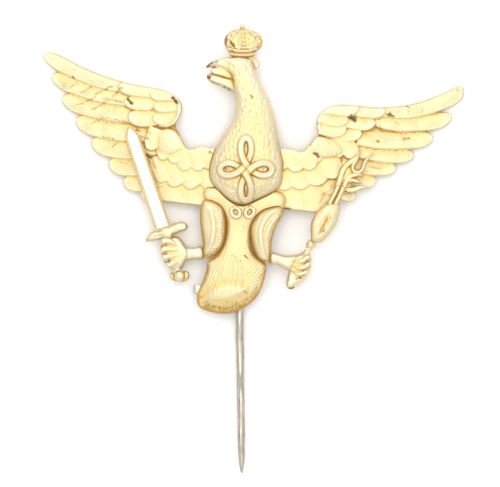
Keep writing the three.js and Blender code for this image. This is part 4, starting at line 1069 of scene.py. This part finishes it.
def sword():
    across = np.array([SWORD_WAY[1], -SWORD_WAY[0]])

    def blade(x, y):
        down_blade = (x - GUARD[0]) * SWORD_WAY[0] + (y - GUARD[1]) * SWORD_WAY[1]
        side = (x - GUARD[0]) * across[0] + (y - GUARD[1]) * across[1]
        from_point = down_blade + 16.85
        half = 1.06 + 0.008 * np.clip(from_point, 0, 16)
        half = half * np.clip(from_point / 1.6, 0, 1) ** 0.5
        inside = np.minimum(half - np.abs(side), -0.62 - down_blade)
        bevel = np.clip(inside / 0.38, 0, 1)
        return inside, 0.24 + 0.36 * bevel - 0.03 * bell(side, 0.35) + 0.006 * noise(x, y, 0.9, 80)

    tip = GUARD - SWORD_WAY * 17
    low, high = np.minimum(tip, GUARD) - 1.6, np.maximum(tip, GUARD) + 1.6
    struck("blade_relief", "sword_blade", "bright_blade", [(blade, low, high)], BLADE_GILT, base=BLADE_LIFT,
           solid=True, texture=0.004, pits=[(-18.2, 16.9, 0.09)], step=0.07)

    guard = dome([(-16.35, 1.15), (-15.6, 1.25), (-14.8, 1.35), (-13.9, 1.55), (-13.0, 1.75), (-12.0, 2.2),
                  (-11.0, 2.6), (-10.2, 2.9), (-9.95, 3.4), (-10.3, 3.95), (-11.0, 4.1), (-11.8, 3.9),
                  (-12.8, 3.5), (-14.0, 3.05), (-15.0, 2.7), (-15.9, 2.1)], 0.95, 1.15, roof=1.6,
                 detail=soft_noise(0.05, 0.5, 81))
    boss = dome([(-14.3, 2.6), (-13.6, 3.5), (-12.6, 3.4), (-12.1, 2.5), (-12.5, 1.6), (-13.5, 1.5)],
                1.2, 0.9)
    gilded("guard_relief", "sword_guard", [guard, boss], step=0.07,
           pits=[(-14.9, 2.0, -13.9, 2.1, 0.12, 0.55), (-12.2, 2.4, 0.13), (-13.3, 1.9, 0.12),
                 (-16.0, 1.4, 0.14)],
           floor=0.5)

    turned("grip_relief", "sword_grip", at(GUARD, SWORD_WAY, 1.0), at(GUARD, SWORD_WAY, 5.9),
           [(0, 0.6), (0.06, 0.62), (0.1, 0.52), (0.9, 0.52), (0.95, 0.62), (1, 0.6)], GRIP_AXIS, twist=0.04)
    cx, cy = at(GUARD, SWORD_WAY, 6.75)
    radius = 0.82
    ball = dome([(cx + radius * math.cos(a), cy + radius * math.sin(a)) for a in circle(12)], GRIP_AXIS, 1.3,
                roll=0.05)
    lobes = dome([(-12.65, -3.8), (-12.4, -4.5), (-11.5, -4.85), (-10.4, -4.8), (-9.75, -4.2), (-9.85, -3.45),
                  (-10.5, -3.3), (-11.1, -3.75), (-11.8, -3.95), (-12.3, -3.5)], 0.8, 0.8, roof=1.2,
                 detail=soft_noise(0.04, 0.4, 83))
    gilded("pommel_relief", "sword_pommel", [ball, lobes], step=0.06, floor=0.5,
           pits=[(-12.1, -4.1, 0.14), (-10.35, -4.0, 0.12)])


def tube(mesh, loops):
    """Joins rings of points into the side of a tube."""
    for one, two in zip(loops, loops[1:]):
        for j in range(len(one)):
            k = (j + 1) % len(one)
            mesh.faces.new((one[j], one[k], two[k], two[j]))


def finished(name, mesh):
    """The mesh data of a built form, with its faces turned outwards."""
    bmesh.ops.recalc_face_normals(mesh, faces=mesh.faces)
    data = bpy.data.meshes.new(name)
    mesh.to_mesh(data)
    mesh.free()
    return data


def turned(name, node, start, end, profile, height, *, twist=0.0, rings=40):
    """A gilt form turned about an axis level over the bow. profile: share of the length, radius."""
    start, end = np.array(start), np.array(end)
    long = float(np.hypot(*(end - start)))
    way = (end - start) / long
    shares, radii = zip(*profile)
    mesh = bmesh.new()
    loops = []
    for i in range(rings + 1):
        t = i / rings
        radius = float(np.interp(t, shares, radii))
        loop = []
        for a in circle(28):
            dent = 0.02 * float(noise(np.array(4 * t + 9), np.array(math.cos(a)), 0.5, 77))
            r = radius + twist * math.sin(2 * a + 26 * t) + dent
            side = r * math.cos(a)
            x = start[0] + way[0] * long * t + way[1] * side
            y = start[1] + way[1] * long * t - way[0] * side
            z = height + r * math.sin(a) + float(rise(x))
            loop.append(mesh.verts.new((x * MM, y * MM, z * MM)))
        loops.append(loop)
    tube(mesh, loops)
    mesh.faces.new(loops[0][::-1])
    mesh.faces.new(loops[-1])
    data = finished(name, mesh)
    for title, value in (("relief", 0.35), ("tarnish_and_shade", 0.0), ("rim", 0.8)):
        wear_attribute(data, title, np.full(len(data.vertices), value))
    add_piece(name, data, node, RELIEF_GILT, 50)


def sceptre():
    kx, ky = KNOP
    wx, wy = SCEPTRE_WAY
    turned("knop_relief", "sceptre_knop", (kx - 0.74 * wx, ky - 0.74 * wy), (kx + 0.72 * wx, ky + 0.72 * wy),
           [(0, 0.4), (0.1, 0.56), (0.28, 0.68), (0.5, 0.74), (0.7, 0.64), (0.85, 0.46), (0.88, 0.56),
            (1, 0.56)],
           GRIP_AXIS, twist=0.02)
    turned("stick_relief", "sceptre_stick", at(KNOP, SCEPTRE_WAY, 1.0), at(KNOP, SCEPTRE_WAY, 6.05),
           [(0, 0.5), (0.05, 0.6), (0.15, 0.46), (0.9, 0.46), (0.95, 0.58), (1, 0.4)], GRIP_AXIS)
    bulb = dome([(8.75, 1.1), (8.5, 2.2), (8.5, 3.6), (9.0, 5.0), (9.9, 6.1), (11.1, 6.8), (12.45, 6.9),
                 (12.85, 6.35), (12.65, 5.0), (12.25, 3.75), (11.4, 2.45), (10.1, 1.15)], 0.35, 1.0, roof=1.4,
                detail=bulb_grooves)
    gilded("bulb_relief", "sceptre_bulb", [bulb], base=BLADE_LIFT, solid=True, step=0.07,
           pits=[(10.35, 2.6, 11.5, 4.7, 0.15, 0.6), (9.3, 2.2, 9.9, 4.4, 0.2, 0.22), (11.0, 6.2, 0.1)])
    shaft = [ribbon([(11.35, 6.9), (12.1, 8.3), (12.55, 9.3)], 0.75, 0.4, 0.62),
             ribbon([(12.25, 6.9), (12.9, 8.2), (13.3, 9.1)], 0.75, 0.4, 0.62)]
    gilded("shaft_relief", "sceptre_shaft", shaft, base=BLADE_LIFT, solid=True, step=0.06)
    head = [
        ribbon([(12.4, 9.1), (12.85, 10.3), (13.2, 11.5), (13.8, 12.5), (14.9, 13.4), (15.7, 14.2),
                (16.1, 14.9)],
               0.85, 0.25, 0.5, taper=(0, 0.4), groove=0.08),
        ribbon([(13.35, 8.9), (13.75, 10.0), (14.3, 10.8), (14.9, 11.1), (15.7, 11.2), (16.5, 11.1)],
               0.75, 0.25, 0.5, taper=(0, 0.3), groove=0.06),
        ribbon([(15.9, 14.4), (15.3, 13.3), (14.8, 12.4), (15.0, 11.7), (15.7, 11.55), (16.25, 12.0),
                (16.6, 13.0), (17.2, 13.8), (17.95, 14.4)], 0.62, 0.34, 0.5, taper=(0.2, 0.3)),
        ribbon([(13.7, 8.9), (14.8, 8.9), (15.9, 9.25), (17.1, 9.4)],
               0.8, 0.22, 0.45, taper=(0.1, 0.5), groove=0.06),
        ribbon([(14.0, 10.3), (15.0, 10.3), (16.1, 9.95)], 0.7, 0.22, 0.42, taper=(0.1, 0.4)),
        dome([(12.1, 9.0), (12.4, 10.6), (13.2, 12.1), (14.3, 12.9), (15.2, 12.2), (15.0, 10.6), (14.3, 9.0),
              (13.0, 8.5)], 0.14, 0.3, detail=soft_noise(0.05, 0.4, 86)),
    ]
    gilded("head_relief", "sceptre_head", head, base=1.3, solid=True, step=0.06,
           pits=[(15.6, 12.4, 0.14), (14.2, 9.7, 15.2, 9.8, 0.14, 0.5), (13.1, 9.6, 13.7, 11.4, 0.1, 0.4)])


def bulb_grooves(x, y, inside):
    """A slit on the right side and a bright stripe on the left, both along the bulb."""
    t, side, arc = along(curve([(9.3, 1.2), (10.3, 3.3), (11.5, 5.6), (12.0, 7.0)], 20), x, y)
    slit = bell(side, 0.2) * smooth(0.1, 0.25, t) * smooth(0.75, 0.55, t)
    ridge = bell(side - 0.9, 0.3) * smooth(0.3, 0.5, t)
    return -0.28 * slit + 0.10 * ridge + 0.02 * noise(x, y, 0.4, 87)


# ---- crown
def crown():
    def arches(x, y, inside):
        height = np.zeros_like(x)
        for foot, top, bead in (((-3.0, 30.0), (-2.2, 32.9), 0.5), ((-1.5, 29.9), (-1.7, 33.0), 0.62),
                                ((0.1, 30.0), (-1.0, 32.9), 0.5)):
            middle = ((foot[0] + top[0]) / 2 + 0.55 * (foot[0] + 1.5), (foot[1] + top[1]) / 2)
            t, side, arc = along(curve([foot, middle, top], 14), x, y)
            beads = 0.75 + 0.25 * np.cos(2 * math.pi * arc / bead)
            height = height + 0.30 * beads * bell(side, 0.26) * smooth(0, 0.05, t) * smooth(1, 0.95, t)
        edge = bell(inside - 0.28, 0.2)
        pearls = np.cos(2 * math.pi * np.arctan2(y - 31.2, x + 1.6) / 0.42)
        return height + edge * (0.10 + 0.12 * pearls) - 0.16 * smooth(0.4, 0.9, inside)

    cap = dome([(-3.7, 29.75), (-4.35, 30.6), (-4.4, 31.6), (-3.7, 32.5), (-2.7, 32.95), (-1.7, 33.05),
                (-0.6, 32.9), (0.6, 32.4), (1.25, 31.5), (1.15, 30.5), (0.4, 29.75), (-1.6, 29.6)], 0.4, 0.85,
               roof=2.6, detail=arches)
    gilded("crown_relief", "crown_cap", [cap], step=0.06,
           pits=[(-4.2, 32.0, -4.25, 30.9, 0.26, 0.75), (-3.4, 31.0, -3.0, 30.35, 0.2, 0.8),
                 (-3.3, 31.9, 0.13), (-2.9, 32.4, 0.12), (-2.3, 31.7, -2.3, 31.1, 0.12, 0.45),
                 (-0.8, 31.6, -0.7, 31.0, 0.12, 0.4), (0.3, 31.9, -0.1, 30.9, 0.13, 0.4),
                 (0.9, 31.6, 1.1, 31.0, 0.16, 0.5), (0.4, 30.2, 0.9, 30.5, 0.14, 0.5), (-1.7, 30.4, 0.1),
                 (-3.6, 30.2, 0.13), (-1.2, 32.3, 0.1)])
    rims = [ribbon([(-3.75, 29.95), (-2.7, 29.72), (-1.5, 29.65), (-0.5, 29.72), (0.25, 29.95)],
                   0.5, 1.3, 0.6),
            ribbon([(-3.5, 29.25), (-2.5, 29.08), (-1.4, 29.05), (-0.5, 29.1), (0.1, 29.3)], 0.42, 1.2, 0.55),
            dome([(-3.7, 29.9), (-3.4, 29.0), (-2.4, 28.75), (-0.8, 28.75), (0.1, 29.1), (0.2, 29.9),
                  (-1.6, 29.6)], 1.35, 0.3)]
    gilded("band_relief", "crown_band", rims, step=0.06, floor=0.4,
           pits=[(-3.4, 29.7, -3.1, 29.5, 0.16, 0.6), (-0.2, 29.6, 0.1, 29.8, 0.15, 0.6)])
    turned("orb_relief", "crown_orb", (-1.77, 32.97), (-1.77, 33.79),
           [(0, 0.2), (0.12, 0.3), (0.3, 0.39), (0.5, 0.41), (0.7, 0.36), (0.9, 0.2), (1, 0.06)],
           0.8, rings=16)
    tie = ribbon([(-0.9, 28.75), (-0.1, 28.3), (0.4, 27.7), (0.3, 27.0)],
                 0.75, head_height, 0.45, groove=0.14,
                 taper=(0.2, 0.2))
    gilded("tie_relief", "crown_ribbon", [tie], step=0.06, floor=0.1,
           under=lambda x, y: head_height(x, y) + 0.02)


# ---- the ornament on the breast
KNOT_CENTRE = np.array([-1.2, 11.9])
KNOT_LEAF = 0.8
KNOT_WIDE, KNOT_TALL = 3.9 / (1 + KNOT_LEAF), 4.65 / (1 + KNOT_LEAF)
RIBBON_WIDE = 1.15


def knot_point(t):
    return np.stack([KNOT_CENTRE[0] + KNOT_WIDE * (np.cos(t) + KNOT_LEAF * np.cos(3 * t)),
                     KNOT_CENTRE[1] + KNOT_TALL * (np.sin(t) - KNOT_LEAF * np.sin(3 * t))], axis=-1)


def knot_crossings():
    """Where the closed ribbon crosses itself: pairs of turns, found by walking round it."""
    steps, apart = 720, 8
    turns = np.linspace(0, 2 * math.pi, steps + 1)[:-1]
    p = knot_point(turns)
    found = []
    for i in range(steps):
        a, b = p[i], p[(i + 1) % steps]
        for j in range(i + apart, steps):
            c, d = p[j], p[(j + 1) % steps]
            distant = abs(a[0] - c[0]) > 0.1 or abs(a[1] - c[1]) > 0.1
            if distant or (j + apart) % steps == i:
                continue
            r, s = b - a, d - c
            cross = r[0] * s[1] - r[1] * s[0]
            if abs(cross) < 1e-9:
                continue
            u = ((c[0] - a[0]) * s[1] - (c[1] - a[1]) * s[0]) / cross
            v = ((c[0] - a[0]) * r[1] - (c[1] - a[1]) * r[0]) / cross
            if 0 <= u < 1 and 0 <= v < 1:
                found += [turns[i], turns[j]]
    return sorted(found)


def knot():
    crossings = knot_crossings()
    passes = len(crossings)
    features = []
    for k in range(passes):  # one stretch of ribbon from midway before a crossing to midway after it
        before = crossings[k - 1] - (2 * math.pi if k == 0 else 0)
        after = crossings[(k + 1) % passes] + (2 * math.pi if k == passes - 1 else 0)
        start, end = (before + crossings[k]) / 2, (crossings[k] + after) / 2
        line = knot_point(np.linspace(start - 0.01, end + 0.01, 12))
        over = 1 if k % 2 else -1
        middle = (crossings[k] - start) / (end - start)

        def weave(t, over=over, middle=middle):
            share = np.where(t < middle, t / middle, (1 - t) / (1 - middle))
            return over * 0.22 * smooth(0, 1, share)

        features.append(ribbon(line, RIBBON_WIDE, lambda x, y: head_height(x, y) + 0.2, 0.8, groove=0.16,
                               weave=weave, samples=18))
    gilded("knot_relief", "breast_knot", features, step=0.06,
           under=lambda x, y: head_height(x, y) + 0.12)


def loops():
    for name, node, x, hand in (("left_loop_relief", "left_knot_loop", -2.75, 1),
                                ("right_loop_relief", "right_knot_loop", -0.65, -1)):
        ring = [(x + 0.62 * math.sin(a) - 0.12 * hand * math.cos(a), 5.55 + 0.72 * math.cos(a))
                for a in np.linspace(0, 2 * math.pi, 15)]
        gilded(name, node, [ribbon(ring, 0.62, 2.12, 0.5, samples=50, groove=0.1)],
               step=0.05, under=lambda u, v: np.full_like(u, 1.94))


# ---- pin and its solder on the back
def white_metal(name, body, patches, tones, patch_ramp, patch_color, metallic, roughness, bump):
    """Worn white metal. body and patches are settings of grain; bump is its strength and its height."""
    paint = Paint(name)
    surface = paint.grain(**body)
    patchy = paint.grain(**patches)
    color = paint.mix(paint.ramp(patchy, *patch_ramp), paint.ramp(surface, *tones), patch_color)
    paint.set("Base Color", color)
    paint.set("Metallic", metallic)
    paint.set("Roughness", paint.ramp(surface, *roughness))
    paint.bump(surface, *bump)
    return paint.material


# drawn steel, brushed along its length, with brassy worn streaks
PIN_STEEL = white_metal(
    "pin_steel", dict(scale=0.8, detail=4, stretch=(5, 0.5, 5)), dict(scale=1.6, detail=5),
    [(0.25, (0.16, 0.15, 0.13)), (0.5, (0.42, 0.39, 0.33)), (0.75, (0.70, 0.66, 0.56))],
    [(0.5, 0.0), (0.72, 0.7)], (0.55, 0.47, 0.30), 0.85, [(0.3, 0.5), (0.8, 0.26)], (0.5, 0.02))
# grey lumpy tin, with yellow flux stains
SOLDER = white_metal(
    "tin_solder", dict(scale=1.1, detail=5), dict(scale=0.45, detail=3),
    [(0.3, (0.20, 0.19, 0.17)), (0.6, (0.42, 0.40, 0.36)), (0.8, (0.60, 0.57, 0.50))],
    [(0.5, 0.0), (0.7, 0.6)], (0.45, 0.32, 0.14), 0.7, [(0.3, 0.62), (0.8, 0.38)], (0.8, 0.06))


def lathe_pin():
    """The needle: a drawn wire that tapers a little and ends in a blunt ogive point."""
    top, point = Vector((-2.355, 3.2)), Vector((-1.83, -33.8))
    long, ogive = 36.9, 4.5
    thick, taper = 0.66, 0.12
    steps = 120
    low, high = box_mm("pin_needle")
    axis = (low.z + high.z) / 2
    mesh = bmesh.new()
    loops = []
    for t in (i / steps for i in range(steps + 1)):
        radius = thick - taper * t
        to_point = (1 - t) * long
        if to_point < ogive:
            radius *= math.sqrt(max(1 - (1 - to_point / ogive) ** 1.7, 0.0004))
        if t < 0.01:  # the upper end's edge is rounded
            radius *= 0.85
        centre = top.lerp(point, t)
        loop = []
        for a in circle(24):
            r = radius * (1 + 0.02 * math.sin(3 * a + 40 * t) * math.sin(17 * t))
            x, z = centre.x + r * math.cos(a), axis + r * math.sin(a)
            loop.append(mesh.verts.new((x * MM, centre.y * MM, z * MM)))
        loops.append(loop)
    tube(mesh, loops)
    mesh.faces.new(loops[0])
    mesh.faces.new(loops[-1][::-1])
    add_piece("needle_wire", finished("needle_wire", mesh), "pin_needle", PIN_STEEL, 50)


def bevelled(mesh, width, segments):
    sharp = [e for e in mesh.edges if len(e.link_faces) == 2 and e.calc_face_angle() > 0.6]
    bmesh.ops.bevel(mesh, geom=sharp, offset=width * MM, segments=segments, profile=0.6, affect="EDGES",
                    clamp_overlap=True)


def block(first, second):
    """A closed form between two outlines with matching points, in millimetres."""
    mesh = bmesh.new()
    near = [mesh.verts.new([v * MM for v in point]) for point in first]
    far = [mesh.verts.new([v * MM for v in point]) for point in second]
    mesh.faces.new(near[::-1])
    mesh.faces.new(far)
    tube(mesh, [near, far])
    bmesh.ops.recalc_face_normals(mesh, faces=mesh.faces)
    return mesh


def back_plate():
    low, high = box_mm("pin_plate")
    outline = curve([(-4.9, -1.4), (-5.2, 1.3), (-4.8, 3.8), (-2.2, 4.5), (0.4, 3.8), (0.8, 1.3), (0.5, -1.4),
                     (-2.2, -1.95)], 64, closed=True)
    mesh = block(*([(x, y, z) for x, y in outline] for z in (low.z, high.z)))
    bevelled(mesh, 0.14, 3)
    add_piece("back_plate", finished("back_plate", mesh), "pin_plate", SOLDER, 40)


def saddle():
    """Half round of solder over the needle, under the plate, with a hollow for the needle."""
    low, high = box_mm("needle_saddle")
    middle = (low + high) / 2
    needle_low, needle_high = box_mm("pin_needle")
    axis = (needle_low.z + needle_high.z) / 2
    roof = high.z - axis
    outer, inner, half = 1.08, 0.72, 1.2
    lean = math.radians(0.8)
    mesh = bmesh.new()
    rows = []
    for v in (-1 + 2 * i / 12 for i in range(13)):
        ring = []
        for r, turn in ((outer * (1 - 0.10 * v * v), 1), (inner, -1)):
            start = math.asin(min(roof / r, 1))
            for a in np.linspace(math.pi - start, 2 * math.pi + start, 25)[::turn]:
                x, z, y = r * math.cos(a), r * math.sin(a), v * half
                ring.append(mesh.verts.new(((middle.x + x - y * math.sin(lean)) * MM,
                                            (middle.y + y * math.cos(lean)) * MM, (axis + z) * MM)))
        rows.append(ring)
    tube(mesh, rows)
    count = len(rows[0])
    for ring in (rows[0], rows[-1]):
        for j in range(count // 2 - 1):
            mesh.faces.new((ring[j], ring[j + 1], ring[count - 2 - j], ring[count - 1 - j]))
    add_piece("solder_saddle", finished("solder_saddle", mesh), "needle_saddle", SOLDER, 45)


def strap():
    """A bent strip under the tail: flat in the middle, its ends raised to the badge."""
    low, high = box_mm("pin_strap")
    thick = 0.6
    left, right = (float(rise(np.array(x))) - 0.06 for x in (low.x, high.x))
    course = [(low.x, left - thick), (-7.3, left - thick), (-6.0, 0.0), (-1.1, 0.0), (-0.45, right - thick),
              (high.x, right - thick)]
    over = [(high.x, right), (-0.95, right), (-1.45, thick), (-5.7, thick), (-7.0, left), (low.x, left)]
    mesh = block(*([(x, y, z) for x, z in course + over] for y in (low.y, high.y)))
    bevelled(mesh, 0.12, 3)
    add_piece("strap_strip", finished("strap_strip", mesh), "pin_strap", PIN_STEEL, 40)


# ---- assembly
left_wing()
right_wing()
body()
tail()
thighs()
left_claw()
right_claw()
sword()
sceptre()
crown()
knot()
loops()
lathe_pin()
back_plate()
saddle()
strap()


# ---- studio
def studio_floor():
    """A plain pale table under the badge."""
    paint = Paint("pale_paper")
    paint.set("Base Color", paint.ramp(paint.grain(0.05, 4), (0.3, (0.86, 0.86, 0.865)), (0.7, 0.90)))
    paint.set("Roughness", 0.9)
    mesh = bmesh.new()
    bmesh.ops.create_grid(mesh, x_segments=2, y_segments=2, size=0.6)
    data = bpy.data.meshes.new("table_top")
    mesh.to_mesh(data)
    mesh.free()
    data.materials.append(paint.material)
    floor = bpy.data.objects.new("table_top", data)
    bpy.context.scene.collection.objects.link(floor)
    floor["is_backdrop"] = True


def softbox(name, place_at, aim, size, power):
    data = bpy.data.lights.new(name, "AREA")
    data.shape = "RECTANGLE"
    data.size, data.size_y = size
    data.energy = power
    data.color = (1.0, 0.99, 0.97)
    lamp = bpy.data.objects.new(name, data)
    lamp.location = place_at
    lamp.rotation_euler = (Vector(aim) - Vector(place_at)).to_track_quat("-Z", "Y").to_euler()
    bpy.context.scene.collection.objects.link(lamp)


PICTURE_CENTRE = (-0.6 * MM, 0.86 * MM)
PICTURE_WIDE = 75.0 * MM
CAMERA_HIGH = 0.45
FOCUS_HIGH = 0.003  # middle of the badge's relief, where the picture's width is measured
SENSOR = 36.0


def camera():
    data = bpy.data.cameras.new("camera")
    data.sensor_width = SENSOR
    data.lens = SENSOR * (CAMERA_HIGH - FOCUS_HIGH) / PICTURE_WIDE
    data.clip_start = 0.01
    data.clip_end = 5.0
    data.dof.use_dof = False
    eye = bpy.data.objects.new("camera", data)
    eye.location = (*PICTURE_CENTRE, CAMERA_HIGH)
    bpy.context.scene.collection.objects.link(eye)
    bpy.context.scene.camera = eye


studio_floor()
camera()
softbox("overhead", (0.0, 0.06, 0.40), (0.0, 0.0, 0.0), (0.34, 0.30), 0.84)
softbox("from_the_top", (-0.05, 0.42, 0.24), (0.0, 0.0, 0.0), (0.40, 0.18), 0.46)
world = bpy.data.worlds.new("studio")
world.use_nodes = True
world.node_tree.nodes["Background"].inputs["Color"].default_value = (1.0, 1.0, 1.0, 1.0)
world.node_tree.nodes["Background"].inputs["Strength"].default_value = 1.0
bpy.context.scene.world = world
bpy.context.scene.view_settings.view_transform = "Standard"

visual_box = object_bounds()
[list(corner) for corner in CAD_BOX]
[list(corner) for corner in visual_box]
